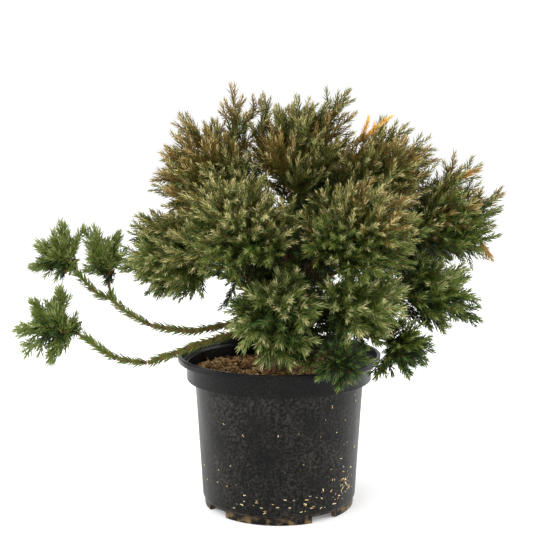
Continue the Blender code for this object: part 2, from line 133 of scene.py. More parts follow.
# Growing mix: its level, its swell and grain, and the gaps between it and the pot
SOIL_LEVEL = 0.1250
SOIL_RADIUS = 0.0850
SOIL_RINGS = 44
SOIL_SPOKES = 128
SOIL_SWELL = 0.0017
SOIL_SWELL_RATE = 38.0
SOIL_SWELL_SLICE = 2.5
SOIL_GRAIN = 0.0008
SOIL_GRAIN_RATE = 150.0
SOIL_GRAIN_SLICE = 7.5
SOIL_SINK = 0.0006
SOIL_LEDGE_GAP = 0.0004
SOIL_WALL_GAP = 0.0006
SOIL_WALL_DROP = 0.0010
SOIL_FOOT_GAP = 0.0016
SOIL_FLOOR_GAP = 0.0005

# Loose chips. Widths are shares of a chip's length, thicknesses of its width
CHIP_COUNT = 2300
CHIP_MARGIN = 0.004
CHIP_LEAST_LENGTH = 0.0025
CHIP_EXTRA_LENGTH = 0.0085
CHIP_LENGTH_SHAPE = (1.3, 3.0)
CHIP_WIDTHS = (0.12, 0.42)
CHIP_THICKNESSES = (0.3, 0.8)
CHIP_LIFTS = (0.0002, 0.0016)
CHIP_TILT = 0.34
SLAB_PLACE = (-0.0500, -0.0560, SOIL_LEVEL + 0.0012)
SLAB_SIZE = (0.0240, 0.0085, 0.0022)

# Each wood's two colours, then the share of the chips that are made of it
CHIP_WOODS = {
    "chip_tan": ((176, 140, 92), (214, 184, 134), 0.38),
    "chip_ochre": ((150, 106, 58), (186, 142, 84), 0.26),
    "chip_brown": ((96, 66, 42), (134, 96, 62), 0.24),
    "chip_dark": ((54, 38, 26), (84, 60, 42), 0.12),
}
SLAB_WOOD = ("chip_bark", (92, 58, 46), (116, 76, 60))

# Slivers: the jitter of their corners, and how much their ends narrow
SLIVER_JITTER = 0.16
SLIVER_END = 0.4
SLIVER_TAPER = 0.35
SLIVER_TAPER_RANGE = (0.2, 1.6)

# Straw flakes on the pot's wall: how many, between which angles and heights
BAND_FLAKES = (36, (-2.3, -0.7), (0.012, 0.028))
RIGHT_FLAKES = (26, (-1.1, -0.3), (0.020, 0.115))
STRAY_FLAKES = (40, (-math.pi, math.pi), (0.012, 0.112))
CLUMP_COUNT = 32
CLUMP_ANGLE = -0.62
CLUMP_ANGLE_SPREAD = 0.07
CLUMP_FOOT = 0.010
CLUMP_HEIGHT = 0.021
CLUMP_HEIGHT_SPREAD = 0.007
FLAKE_STAND_OFF = 0.00025
FLAKE_THICKNESS = 0.0004
FLAKE_LENGTHS = (0.0010, 0.0030)
FLAKE_LENGTH_SHARES = (0.5, 1.1)
FLAKE_WIDTHS = (0.22, 0.5)
BAND_LEAN = 0.35
STRAWS = {
    "flake_straw": ((206, 188, 140), (226, 210, 168), 0.7),
    "flake_tan": ((166, 132, 84), (196, 162, 110), 0.3),
}

# Stem
STEM_RINGS = 7
STEM_TOP_BAND = 0.002
STEM_BOW = 0.003
STEM_SINK = 0.004
STEM_FOOT_SHARE = 0.44
STEM_TOP_RADIUS = 0.0046
STEM_TAPER = 0.0026
STEM_FLARE_FALL = 16.0

# Limbs: how far under its first ring a limb starts inside the stem, and its bark
ARM_LIMBS = ("upper_arm_inner", "upper_arm_outer", "lower_arm_inner", "lower_arm_outer")
ARM_FORK = "upper_arm_fork"
ARM_FORK_FOOT = np.array([-0.157, 0.004, 0.194])
STEM_HEIGHT_BELOW = 0.01
ROOT_DROP = 0.003
TOP_ROOT_DROP = 0.006
LIMB_LARGEST_RADIUS = 0.0034
RING_GAP = 0.0025
Bark = namedtuple("Bark", "step relief sides ridges")
STEM_BARK = Bark(step=0.0022, relief=0.13, sides=28, ridges=7)
LIMB_BARK = Bark(step=0.0030, relief=0.10, sides=12, ridges=4)
BARK_SEED_STEP = 7.3
RIDGE_DEPTH = 0.45
RIDGE_WANDER = 2.5
RIDGE_RATE = 0.11
GRAIN_SPREAD = 3.0
GRAIN_RATE = 0.35

# Colours of the pot, the bark, the peat and the floor, as sRGB levels out of 255
POT_BLACK = (5, 5, 5)
POT_DUST = (80, 77, 70)
POT_SPECK = (128, 118, 98)
POT_DIRT = (112, 92, 62)
BARK_PLAIN = (96, 64, 40)
BARK_DARK = (58, 40, 24)
BARK_LIGHT = (120, 92, 60)
BARK_GREY = (124, 112, 84)
PEAT_PLAIN = (58, 40, 26)
PEAT_DARK = (40, 30, 18)
PEAT_LIGHT = (128, 104, 62)
FLOOR_PLAIN = (240, 240, 240)
FLOOR_DARK = (242, 242, 242)
FLOOR_LIGHT = (245, 245, 245)

# Needle and wood colours, as sRGB levels out of 255
COLOURS = {
    "deep": (30, 46, 18),
    "green": (56, 80, 26),
    "fresh": (94, 112, 42),
    "blue_green": (76, 102, 54),
    "pale_blue": (130, 142, 82),
    "olive": (80, 88, 32),
    "khaki": (118, 114, 46),
    "bronze": (108, 84, 38),
    "tan": (150, 122, 66),
    "cream": (204, 196, 144),
    "glaucous": (144, 152, 94),
    "gold": (232, 176, 56),
    "gold_tip": (244, 208, 104),
    "ochre": (170, 126, 58),
    "stem": (128, 88, 36),
    "twig": (84, 56, 30),
}
COLOUR_NAMES = list(COLOURS)
WOOD_COLOURS = ("stem", "twig")
NEEDLE_ROUGHNESS = 0.50
NEEDLE_SPECULAR = 0.28
WOOD_SPECULAR = 0.20

# Each tint names the outer faces at a shoot's foot, middle and end, then the paler inner faces
TINTS = {
    # The inner tint, mostly deep, is painted shade for shoots in the crown's heart and under other masses
    "inner": (("deep", "deep", "green"), ("deep", "green", "blue_green")),
    "green": (("deep", "green", "fresh"), ("green", "fresh", "glaucous")),
    "arm": (("fresh", "fresh", "pale_blue"), ("pale_blue", "pale_blue", "glaucous")),
    "olive": (("green", "olive", "khaki"), ("olive", "glaucous", "cream")),
    "bronze": (("olive", "bronze", "tan"), ("olive", "khaki", "cream")),
    "front": (("blue_green", "fresh", "pale_blue"), ("fresh", "pale_blue", "cream")),
    "ochre": (("olive", "ochre", "tan"), ("ochre", "tan", "cream")),
    "gold": (("ochre", "gold", "gold_tip"), ("gold", "gold", "gold_tip")),
    "old": (("olive", "fresh", "khaki"), ("olive", "fresh", "glaucous")),
}
TINT_NAMES = list(TINTS)

# Needles, set in a spiral up each shoot
NEEDLE_LENGTH = 0.0078
NEEDLE_WIDTH = 0.00140
NEEDLES_PER_METRE = 1150.0
LEAST_NEEDLES = 4
NEEDLE_LEAN = 40.0
LEAN_JITTER = 5.0
SPIRAL_STARTS = (0.0, 6.28)
SPIRAL_JITTER = 0.22
LAST_NEEDLE = 0.985
POINTED_STRETCH = 0.009
POINTED_LEAN_SHARE = 0.42
POINTED_LENGTH_SHARE = 0.62
FOOT_LENGTH_SHARE = 0.72
FOOT_STRETCH_RATE = 6.0
LENGTH_SPREAD = (0.78, 1.14)
PLAIN_WIDTH_SHARE = 0.80
KEEL_PLACE = 0.36
KEEL_HEIGHT = 0.075
POINT_CURL = 0.10
OUTER_STAGES = (0.34, 0.78)
INNER_STAGES = (0.50, 0.86)
STAGE_JITTER = 0.10

# Woody axes: their radii, and their tubes' sides and rings
SHOOT_STEM_RADIUS = 0.00055
SHOOT_SEAT_SHARE = 0.7
SHOOT_TIP_SHARE = 0.4
SHOOT_TUBE = (3, 4)
TWIG_TUBE = (5, 5)
STEEP = 0.9
TWIG_LEAST_RADIUS = 0.0005
TWIG_LARGEST_RADIUS = 0.0017
TWIG_GROWTH = 0.00022
TWIG_GROWTH_POWER = 0.6
TWIG_SHORTEST = 0.002
TWIG_BEND_SHARE = 0.4
FORK_BEND_SHARE = 0.5
FORK_TAPER = 0.6
TWIG_TAPER = 0.9
SMALL_FORK = 7
GROUPING_ROUNDS = 6

# Sprays: a leading shoot with side shoots. Shares are of the leading shoot's length
SPRAY_SIDE_JITTER = 0.15
SPRAY_SAG_JITTER = 0.05
SPRAY_LIFT_BOW = 0.22
FIRST_SIDE_SHARE = 0.10
SIDE_STRETCH = 0.66
SIDE_STEP_RANGE = (0.2, 0.8)
SIDE_LEANS = (32, 48)
SIDE_LOW_SHARE = 0.50
SIDE_END_SHARE = 0.14
SIDE_SPREAD = (0.80, 1.22)
SIDE_SHORTEST = 0.010
SIDE_LONGEST = 0.034
SIDE_FORWARD = 0.40
SIDE_LIFT = 0.30
SIDE_NEEDLE_SHARE = 0.94

# How each mass grows: the tint of its sunny and its shaded shoots, the needles' length
# against NEEDLE_LENGTH, the shoots' lift (below zero they hang) and side shoots a spray
MASSES = {
    "upper_left": ("bronze", "green", 0.92, 0.25, 5),
    "top": ("bronze", "green", 0.92, 0.45, 5),
    "upper_right": ("bronze", "green", 0.92, 0.40, 5),
    "right": ("bronze", "green", 0.95, 0.10, 5),
    "left": ("olive", "front", 0.95, -0.10, 6),
    "front_left": ("olive", "green", 0.92, 0.05, 6),
    "front_right": ("bronze", "green", 0.92, 0.10, 6),
    "low_front": ("front", "front", 1.30, -0.20, 5),
    "low_right": ("front", "front", 1.20, 0.00, 5),
    "outer_right": ("front", "green", 1.15, 0.00, 4),
    "right_droop": ("green", "green", 1.10, -0.35, 3),
    # rim_droop and back_low give their shaded shoots the dark inner tint: painted shade
    "rim_droop": ("green", "inner", 1.10, -0.40, 2),
    "back_left": ("bronze", "green", 0.95, 0.15, 5),
    "back_right": ("bronze", "green", 0.95, 0.15, 5),
    "back_outer_right": ("olive", "green", 0.95, 0.00, 6),
    "back_outer_left": ("olive", "green", 0.95, -0.05, 6),
    "back_low": ("green", "inner", 1.10, -0.15, 5),
    "upper_arm_tip": ("arm", "arm", 1.30, 0.10, 4),
    "upper_arm_side": ("arm", "arm", 1.30, 0.20, 4),
    "lower_arm_tip": ("arm", "arm", 1.35, 0.05, 4),
}
# A mass hangs on the bough of its own name, and the fans of the long arms on these
FAN_LIMBS = {
    "upper_arm_tip": "upper_arm_fork",
    "upper_arm_side": "upper_arm_outer",
    "lower_arm_tip": "lower_arm_outer",
}
SMALL_MASSES = ("upper_arm_tip", "upper_arm_side", "lower_arm_tip", "rim_droop", "right_droop")

# Where sprays end: how far apart, how many places are tried, and which count as covered
CROWN_HEART = np.array([0.020, 0.0, 0.205])
TIP_SPACING = 0.0142
SMALL_SPACING_SHARE = 0.55
FILL_TRIES = 420
SMALL_FILL_TRIES = 160
FILL_DEPTHS = (0.82, 1.0)
FROM_HEART = 0.7
FROM_MIDDLE = 0.3
COVER_START = 0.0008
COVER_REACH = 0.026
COVERED_KEPT = 0.22

# Sun and frost, which bronze a shoot: the weight of each cause, and where the tints change
SUN_UP = 1.0
SUN_SIDE = 0.25
SUN_BACK = 0.10
SUN_HEIGHT = 0.285
SUN_PER_METRE = 8.0
SUN_JITTER = 0.30
SUNNY = 0.25
SUNNIEST = 1.0
# Painted shade: shoots with less sun than this, and covered shoots, mostly get the dark inner tint
SHADE_PAINTED_BELOW = -0.75
OLIVE_CHANCE = 0.75
SUNNIEST_OLIVE_CHANCE = 0.45
PAINTED_SHADE_CHANCE = 0.6

# How a mass's sprays lie
HEADING_FROM_LIMB = 0.60
HEADING_OUTWARD = 0.40
HEADING_DROP = 0.12
HEADING_JITTER = 0.16
LEAFY_SHARE = 0.80
LEAFY_SHORTEST = 0.016
LEAFY_LONGEST = 0.056
SIDE_COUNT_LENGTH = 0.050
SIDE_COUNT_JITTER = 0.5
MASS_FLATNESS = 0.75
ARM_FLATNESS = 0.35

# Single shoots that stand out in the photograph: the mass that carries each, its tint,
# its foot and its tip, and its needles' length and lean
ACCENTS = (
    ("top", "gold", (0.0710, -0.0150, 0.3380), (0.0800, -0.0200, 0.3620), 0.70, 34.0),
    ("top", "gold", (0.0735, -0.0160, 0.3400), (0.0925, -0.0200, 0.3560), 0.70, 34.0),
    ("upper_right", "gold", (0.0850, -0.0150, 0.3500), (0.1010, -0.0160, 0.3620), 0.70, 34.0),
    ("upper_right", "gold", (0.0830, -0.0150, 0.3400), (0.0850, -0.0200, 0.3560), 0.70, 34.0),
    ("right", "ochre", (0.1780, -0.0180, 0.2620), (0.1930, -0.0220, 0.2340), 1.05, 34.0),
    ("right", "ochre", (0.1500, -0.0200, 0.3010), (0.1790, -0.0220, 0.3150), 1.05, 34.0),
)
ACCENT_DENSITY = 2.0
ACCENT_BEND_JITTER = 0.06
ACCENT_ROOT = 0.012
ACCENT_RADII = (0.0007, 0.0006)

# Long shoots that reach past the hollows between the imported peaks. Each tip's column and row
# were read off the photograph; y is its guessed place between front and back
Tip = namedtuple("Tip", "tint column row y")
LONG_SHOOTS = {
    "upper_left": (
        Tip("bronze", 264, 93, 0.0),
        Tip("olive", 247, 112, -0.02),
        Tip("olive", 272, 112, -0.01),
        Tip("bronze", 151, 180, -0.01),
        Tip("bronze", 160, 152, -0.01),
    ),
    "top": (
        Tip("bronze", 278, 104, 0.0),
        Tip("olive", 350, 90, 0.01),
        Tip("bronze", 356, 112, 0.0),
        Tip("olive", 366, 136, -0.01),
    ),
    "upper_right": (
        Tip("olive", 376, 142, 0.0),
        Tip("bronze", 386, 117, 0.0),
        Tip("olive", 372, 160, -0.02),
        Tip("bronze", 440, 160, 0.0),
        Tip("olive", 428, 172, -0.01),
    ),
    "right": (
        Tip("olive", 448, 168, 0.0),
        Tip("bronze", 455, 152, 0.0),
        Tip("bronze", 504, 193, -0.005),
        Tip("olive", 497, 226, -0.005),
        Tip("green", 480, 250, -0.01),
    ),
    "left": (
        Tip("green", 128, 232, -0.02),
        Tip("green", 119, 268, -0.03),
        Tip("green", 142, 283, -0.03),
        Tip("green", 200, 292, -0.05),
        Tip("olive", 140, 213, -0.01),
    ),
    "low_front": (
        Tip("front", 262, 366, -0.085),
        Tip("front", 232, 330, -0.07),
        Tip("front", 232, 303, -0.07),
        Tip("front", 290, 368, -0.09),
        Tip("front", 305, 352, -0.10),
    ),
    "low_right": (
        Tip("front", 390, 335, -0.08),
        Tip("front", 376, 345, -0.09),
    ),
    "right_droop": (
        Tip("green", 376, 378, -0.08),
        Tip("green", 409, 378, -0.06),
        Tip("green", 427, 362, -0.05),
        Tip("green", 434, 345, -0.04),
    ),
    "outer_right": (
        Tip("green", 480, 300, -0.03),
        Tip("green", 480, 320, -0.03),
        Tip("green", 470, 275, -0.02),
    ),
    "rim_droop": (
        Tip("green", 318, 376, -0.10),
        Tip("green", 341, 386, -0.108),
        Tip("green", 357, 376, -0.10),
    ),
    "lower_arm_tip": (
        Tip("arm", 16, 330, -0.03),
        Tip("arm", 30, 302, -0.03),
        Tip("arm", 48, 362, -0.04),
        Tip("arm", 22, 352, -0.03),
        Tip("arm", 62, 287, -0.02),
    ),
    "upper_arm_tip": (
        Tip("arm", 31, 268, 0.0),
        Tip("arm", 38, 243, 0.01),
        Tip("arm", 64, 226, 0.015),
    ),
    "upper_arm_side": (
        Tip("arm", 84, 230, 0.015),
        Tip("arm", 120, 234, 0.01),
        Tip("arm", 124, 254, 0.0),
    ),
}
LONG_SHOOT_SHARE = 0.75
LONG_SHOOT_LONGEST = 0.050
LONG_SHOOT_SIDES = 4
LONG_SHOOT_FLATNESS = 0.5

# Shaded sprays in the heart of the crown, by every few points of a limb's line
INNER_FIRST_POINT = 3
INNER_STEM_STEP = 2
INNER_LIMB_STEP = 4
INNER_SPRAYS_A_POINT = 2
INNER_FLATTENING = np.array([1.0, 1.0, 0.6])
INNER_ACROSS = 0.6
INNER_FORWARD = 0.40
INNER_LENGTHS = (0.026, 0.046)
INNER_LOWEST_FOOT = SOIL_LEVEL + 0.030
INNER_LOWEST_TIP = SOIL_LEVEL + 0.016
# The share of these sprays given the dark inner tint, which is painted shade
INNER_PAINTED_SHADE_CHANCE = 0.55
INNER_SIDES = 3
INNER_FLATNESS = 0.8
INNER_RADII = (0.0007, 0.0005)

# Needles along the two long arms
ARM_STEP = 4
ARM_NEEDLE = 1.25
ARM_DENSITY = 2.3
ARM_END_DENSITY = 2.6
ARM_DENSE_FROM = 0.45
ARM_GREEN_FROM = 0.40

# Studio
FLOOR_SIDES = 96
STUDIO_FLOOR_RADIUS = 6.0
STUDIO_FLOOR_GLOW = 0.16
WHITE = (1.0, 1.0, 1.0, 1.0)
WORLD_STRENGTH = 1.0

# Each lamp's place, target, size and power
LAMPS = {
    "key": ((-0.9, -1.6, 2.2), (0.0, 0.0, 0.2), 1.6, 26.0),
    "top": ((0.3, 0.4, 2.4), (0.0, 0.0, 0.2), 1.8, 22.0),
    "left": ((-1.9, 0.1, 0.6), (0.0, 0.0, 0.15), 0.9, 24.0),
    "right": ((1.9, 0.2, 0.6), (0.0, 0.0, 0.15), 0.9, 26.0),
}


def linear(level):
    """An sRGB level out of 255 as a share of full light."""
    share = level / 255.0
    return share / 12.92 if share <= 0.04045 else ((share + 0.055) / 1.055) ** 2.4


def colour(levels):
    return tuple(linear(level) for level in levels) + (1.0,)


def unit(vector):
    return vector / max(float(np.linalg.norm(vector)), NEAR_ZERO)


def unit_rows(vectors):
    return vectors / np.maximum(np.linalg.norm(vectors, axis=1), NEAR_ZERO)[:, None]


def aimed(angle, first, second):
    """The direction at this angle from first towards second."""
    return math.cos(angle) * first + math.sin(angle) * second


def columns(rows):
    """One array for each place in the rows."""
    return [np.array(column) for column in zip(*rows)]


def seen_at(column, row, y):
    """Where the photograph's ray at this column and row meets the upright plane at y, to 1 mm."""
    right = (column - PHOTO_AXIS_COLUMN) / PHOTO_FOCAL
    rise = (PHOTO_MIDDLE_ROW - row) / PHOTO_FOCAL
    forward = math.cos(CAMERA_DIP) + math.sin(CAMERA_DIP) * rise
    upward = math.cos(CAMERA_DIP) * rise - math.sin(CAMERA_DIP)
    reach = (y - CAMERA_PLACE[1]) / forward
    return np.round((right * reach, y, CAMERA_PLACE[2] + upward * reach), TIP_DECIMALS)


# Materials


class Surface:
    """A Principled material, with short ways to wire its nodes."""

    # The colour sockets of a Mix node, which share their names with its other sockets
    MIX_FIRST = 6
    MIX_SECOND = 7
    MIX_RESULT = 2

    def __init__(self, name, levels, roughness, specular):
        self.material = bpy.data.materials.new(name)
        self.material.use_nodes = True
        self.tree = self.material.node_tree
        self.shader = self.tree.nodes["Principled BSDF"]
        self.shader.inputs["Base Color"].default_value = colour(levels)
        self.shader.inputs["Roughness"].default_value = roughness
        self.shader.inputs["Specular IOR Level"].default_value = specular
        self.material.diffuse_color = colour(levels)

    def put(self, kind, **values):
        node = self.tree.nodes.new(kind)
        for name, value in values.items():
            node.inputs[name].default_value = value
        return node

    def link(self, source, target):
        self.tree.links.new(source, target)

    def paint(self, shade):
        self.link(shade, self.shader.inputs["Base Color"])

    def noise(self, scale, detail, stretch=(1.0, 1.0, 1.0)):
        """Noise in object space, with features about 1 / scale metres across."""
        where = self.put("ShaderNodeTexCoord")
        mapping = self.put("ShaderNodeMapping", Scale=stretch)
        pattern = self.put("ShaderNodeTexNoise", Scale=scale, Detail=detail)
        self.link(where.outputs["Object"], mapping.inputs["Vector"])
        self.link(mapping.outputs["Vector"], pattern.inputs["Vector"])
        return pattern.outputs["Fac"]

    def ramp(self, source, low, high, start=0.0, end=1.0):
        """From start where source is low to end where it is high."""
        node = self.put("ShaderNodeMapRange")
        node.clamp = True
        for name, value in (("From Min", low), ("From Max", high), ("To Min", start), ("To Max", end)):
            node.inputs[name].default_value = value
        self.link(source, node.inputs["Value"])
        return node.outputs["Result"]

    def patches(self, scale, detail, **limits):
        """Noise of this scale, spread between the limits that ramp takes."""
        return self.ramp(self.noise(scale, detail), **limits)

    def times(self, first, second):
        node = self.put("ShaderNodeMath")
        node.operation = "MULTIPLY"
        self.link(first, node.inputs[0])
        self.link(second, node.inputs[1])
        return node.outputs["Value"]

    def blend(self, factor, first, second):
        """Colours mixed by factor. first may be a colour's levels or a socket."""
        node = self.put("ShaderNodeMix")
        node.data_type = "RGBA"
        self.link(factor, node.inputs["Factor"])
        if isinstance(first, tuple):
            node.inputs[self.MIX_FIRST].default_value = colour(first)
        else:
            self.link(first, node.inputs[self.MIX_FIRST])
        node.inputs[self.MIX_SECOND].default_value = colour(second)
        return node.outputs[self.MIX_RESULT]

    def height(self):
        where = self.put("ShaderNodeTexCoord")
        split = self.put("ShaderNodeSeparateXYZ")
        self.link(where.outputs["Object"], split.inputs["Vector"])
        return split.outputs["Z"]

    def bump(self, source, strength, distance):
        node = self.put("ShaderNodeBump", Strength=strength, Distance=distance)
        self.link(source, node.inputs["Height"])
        self.link(node.outputs["Normal"], self.shader.inputs["Normal"])


def pot_plastic():
    """Black moulded plastic with a film of dust, specks, and dried dirt on the foot."""
    made = Surface("pot_plastic", POT_BLACK, roughness=0.36, specular=0.12)
    dust = made.patches(scale=420.0, detail=6.0, low=0.42, high=0.80)
    film = made.patches(scale=34.0, detail=3.0, low=0.30, high=0.75, start=0.10, end=0.80)
    ledge = {"low": LEDGE_HEIGHT + LEDGE_BLEND, "high": LEDGE_HEIGHT - LEDGE_BLEND}
    # The collar above the ledge keeps a quarter of the film, so it stays darker than the wall
    film = made.times(film, made.ramp(made.height(), start=0.25, end=1.0, **ledge))
    shade = made.blend(made.times(dust, film), first=POT_BLACK, second=POT_DUST)
    specks = made.patches(scale=1100.0, detail=2.0, low=0.72, high=0.76, end=0.8)
    shade = made.blend(specks, first=shade, second=POT_SPECK)
    foot = made.ramp(made.height(), low=DIRT_TOP, high=DIRT_FULL)
    dirt = made.times(foot, made.patches(scale=130.0, detail=5.0, low=0.46, high=0.60))
    made.paint(made.blend(dirt, first=shade, second=POT_DIRT))
    scuffs = made.noise(scale=60.0, detail=5.0, stretch=(1.0, 1.0, 0.18))
    rough = made.ramp(scuffs, low=0.3, high=0.8, start=0.27, end=0.50)
    made.link(rough, made.shader.inputs["Roughness"])
    made.bump(made.noise(scale=900.0, detail=3.0), strength=0.16, distance=0.0004)
    return made.material


def bark():
    """Fibrous red-brown bark with greyer patches."""
    made = Surface("bark", BARK_PLAIN, roughness=0.82, specular=0.25)
    strips = made.noise(scale=260.0, detail=6.0, stretch=(1.0, 1.0, 0.22))
    shade = made.blend(made.ramp(strips, low=0.35, high=0.66), first=BARK_DARK, second=BARK_LIGHT)
    patches = made.patches(scale=120.0, detail=3.0, low=0.58, high=0.72, end=0.6)
    made.paint(made.blend(patches, first=shade, second=BARK_GREY))
    made.bump(strips, strength=0.6, distance=0.0006)
    return made.material


def soil_bed():
    """Damp peat between the chips."""
    made = Surface("soil_bed", PEAT_PLAIN, roughness=0.95, specular=0.2)
    grain = made.noise(scale=520.0, detail=8.0)
    made.paint(made.blend(made.ramp(grain, low=0.40, high=0.64), first=PEAT_DARK, second=PEAT_LIGHT))
    made.bump(grain, strength=0.8, distance=0.0012)
    return made.material


def chip_wood(name, levels, pale):
    """Wood fibre, bark or straw, mottled between two colours."""
    made = Surface(name, levels, roughness=0.88, specular=0.25)
    mottle = made.patches(scale=700.0, detail=4.0, low=0.36, high=0.66)
    made.paint(made.blend(mottle, first=levels, second=pale))
    return made.material


def plain_materials():
    """One plain colour for each kind of needle face and for the young stems."""
    made = []
    for name, levels in COLOURS.items():
        specular = WOOD_SPECULAR if name in WOOD_COLOURS else NEEDLE_SPECULAR
        made.append(Surface("needle_" + name, levels, NEEDLE_ROUGHNESS, specular).material)
    return made


# Meshes


def placed(name, data):
    """A new object in the scene."""
    made = bpy.data.objects.new(name, data)
    bpy.context.scene.collection.objects.link(made)
    return made


def mesh_object(name, points, faces, materials, indices, smooth=False):
    """An object from an array of points and one array of faces that all have as many corners."""
    mesh = bpy.data.meshes.new(name)
    faces = np.asarray(faces, np.int32)
    count, corners = faces.shape
    mesh.vertices.add(len(points))
    mesh.vertices.foreach_set("co", np.asarray(points, np.float32).ravel())
    mesh.loops.add(count * corners)
    mesh.loops.foreach_set("vertex_index", faces.ravel())
    mesh.polygons.add(count)
    mesh.polygons.foreach_set("loop_start", np.arange(count, dtype=np.int32) * corners)
    for material in materials:
        mesh.materials.append(material)
    mesh.polygons.foreach_set("material_index", np.asarray(indices, np.int32))
    mesh.polygons.foreach_set("use_smooth", np.full(count, smooth, bool))
    mesh.update(calc_edges=True)
    mesh.validate()
    return placed(name, mesh)


def add_faces(name, points, faces, material):
    """A smooth object from quads and from triangles written as quads with a doubled corner."""
    mesh = bpy.data.meshes.new(name)
    clean = [tuple(dict.fromkeys(face)) for face in faces]
    mesh.from_pydata([tuple(p) for p in points], [], clean)
    mesh.materials.append(material)
    mesh.polygons.foreach_set("use_smooth", [True] * len(clean))
    mesh.update()
    return placed(name, mesh)


def finish_piece(piece, slot, *nodes):
    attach(piece, "root")
    if nodes:
        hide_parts(*nodes)


def smooth_line(points, step):
    """Points about a step apart on a Catmull-Rom curve through these points."""
    points = np.asarray(points, float)
    ends = np.vstack([2 * points[0] - points[1], points, 2 * points[-1] - points[-2]])
    line = []
    for i in range(len(points) - 1):
        a, b, c, d = ends[i : i + 4]
        count = max(2, int(np.linalg.norm(c - b) / step))
        for t in np.linspace(0.0, 1.0, count, endpoint=False):
            line.append(0.5 * (2 * b + (c - a) * t + (2 * a - 5 * b + 4 * c - d) * t**2
                               + (3 * b - a - 3 * c + d) * t**3))
    line.append(points[-1])
    return np.array(line)


def bark_relief(angle, ring, look, seed):
    """How far the bark stands out here, as a share of the limb's radius."""
    wander = noise.noise(Vector((seed, ring * RIDGE_RATE, 0.0)))
    wave = math.sin(look.ridges * angle + RIDGE_WANDER * wander)
    around = seed + GRAIN_SPREAD * math.cos(angle)
    rough = noise.noise(Vector((around, GRAIN_SPREAD * math.sin(angle), ring * GRAIN_RATE)))
    return look.relief * (RIDGE_DEPTH * wave + rough)


def bark_tube(line, radii, look, seed):
    """A closed tube's points and quads, with bark ridges that run along it."""
    along = unit_rows(np.gradient(line, axis=0))
    across = unit(np.cross(along[0], UP + OFF_VERTICAL))
    sides = look.sides
    points = []
    for i, (centre, forward) in enumerate(zip(line, along)):
        across = unit(across - forward * np.dot(across, forward))
        other = np.cross(forward, across)
        for k in range(sides):
            angle = 2 * math.pi * k / sides
            radius = radii[i] * (1.0 + bark_relief(angle, i, look, seed))
            points.append(centre + radius * aimed(angle, across, other))
    faces = []
    rings = len(line)
    for i in range(rings - 1):
        for k in range(sides):
            n = (k + 1) % sides
            faces.append((i * sides + k, i * sides + n, (i + 1) * sides + n, (i + 1) * sides + k))
    first, last = len(points), len(points) + 1
    points += [line[0], line[-1]]
    for k in range(sides):
        n = (k + 1) % sides
        faces.append((first, n, k, k))
        faces.append((last, (rings - 1) * sides + k, (rings - 1) * sides + n, (rings - 1) * sides + n))
    return np.array(points), faces


def ring_quads(first, second, count):
    """Quads between two closed rings of points that start at these numbers."""
    after = [(k + 1) % count for k in range(count)]
    return [(first + k, second + k, second + n, first + n) for k, n in enumerate(after)]


def slivers_mesh(name, centres, sizes, turns, materials, kinds, rng):
    """Many small uneven slivers in one mesh. turns holds each one's three axes as rows."""
    corners = np.array([(x, y, z) for x in (-0.5, 0.5) for y in (-0.5, 0.5) for z in (-0.5, 0.5)])
    count = len(centres)
    shape = np.repeat(corners[None], count, axis=0)
    shape = shape + rng.uniform(-SLIVER_JITTER, SLIVER_JITTER, shape.shape)
    at_end = np.abs(shape[:, :, 0]) > SLIVER_END
    shape[:, :, 1] *= 1.0 - SLIVER_TAPER * at_end * rng.uniform(*SLIVER_TAPER_RANGE, (count, 1))
    shape = shape * sizes[:, None, :]
    points = centres[:, None, :] + np.einsum("nij,njk->nik", shape, turns)
    quads = np.array([(0, 1, 3, 2), (4, 6, 7, 5), (0, 4, 5, 1), (2, 3, 7, 6), (0, 2, 6, 4), (1, 5, 7, 3)])
    faces = (quads[None] + 8 * np.arange(count)[:, None, None]).reshape(-1, 4)
    return mesh_object(name, points.reshape(-1, 3), faces, materials, np.repeat(kinds, 6))


# Pot


def arc(centre, radius, start, end, steps):
    """Points of a section's rounded edge, the angles in degrees."""
    angles = [math.radians(start + (end - start) * i / steps) for i in range(steps + 1)]
    return [(centre[0] + radius * math.cos(a), centre[1] + radius * math.sin(a)) for a in angles]


def lip_section():
    """Up the lip's inner face, over it, and down its grooved outer face."""
    edge_height = POT_HEIGHT - EDGE_RADIUS
    section = [(LIP_INNER_RADIUS, edge_height)]
    section += arc((LIP_INNER_RADIUS + EDGE_RADIUS, edge_height), EDGE_RADIUS, 170, 95, 4)
    section += arc((LIP_RADIUS - EDGE_RADIUS, edge_height), EDGE_RADIUS, 85, 5, 4)
    section += [(LIP_RADIUS, POT_HEIGHT - GROOVE_TOP)]
    section += [(LIP_RADIUS - GROOVE_DEPTH, POT_HEIGHT - GROOVE_SHOULDER)]
    section += [(LIP_RADIUS - GROOVE_DEPTH, POT_HEIGHT - GROOVE_END)]
    corner = (LIP_RADIUS - 2 * GROOVE_DEPTH, POT_HEIGHT - LIP_DEPTH + GROOVE_DEPTH)
    section += arc(corner, GROOVE_DEPTH, 0, -90, 3)
    section += [(COLLAR_RADIUS + UNDER_LIP_WIDTH, POT_HEIGHT - LIP_DEPTH - UNDER_LIP_DROP)]
    return section


def ledge_section():
    """Down the collar and round the ledge to the top of the wall."""
    section = [(COLLAR_RADIUS, COLLAR_TOP - COLLAR_EASE)]
    section += [(COLLAR_RADIUS - COLLAR_TAPER, LEDGE_HEIGHT + 2 * LEDGE_EDGE)]
    corner = (COLLAR_RADIUS - COLLAR_TAPER - LEDGE_EDGE, LEDGE_HEIGHT + LEDGE_EDGE)
    section += arc(corner, LEDGE_EDGE, 0, -80, 4)
    section += [(WALL_TOP_RADIUS + LEDGE_LAP, LEDGE_HEIGHT - LEDGE_DROP)]
    hollow = (WALL_TOP_RADIUS + LEDGE_EASE, LEDGE_HEIGHT - LEDGE_DROP - LEDGE_EASE)
    section += arc(hollow, LEDGE_EASE, 100, 180, 4)
    return section


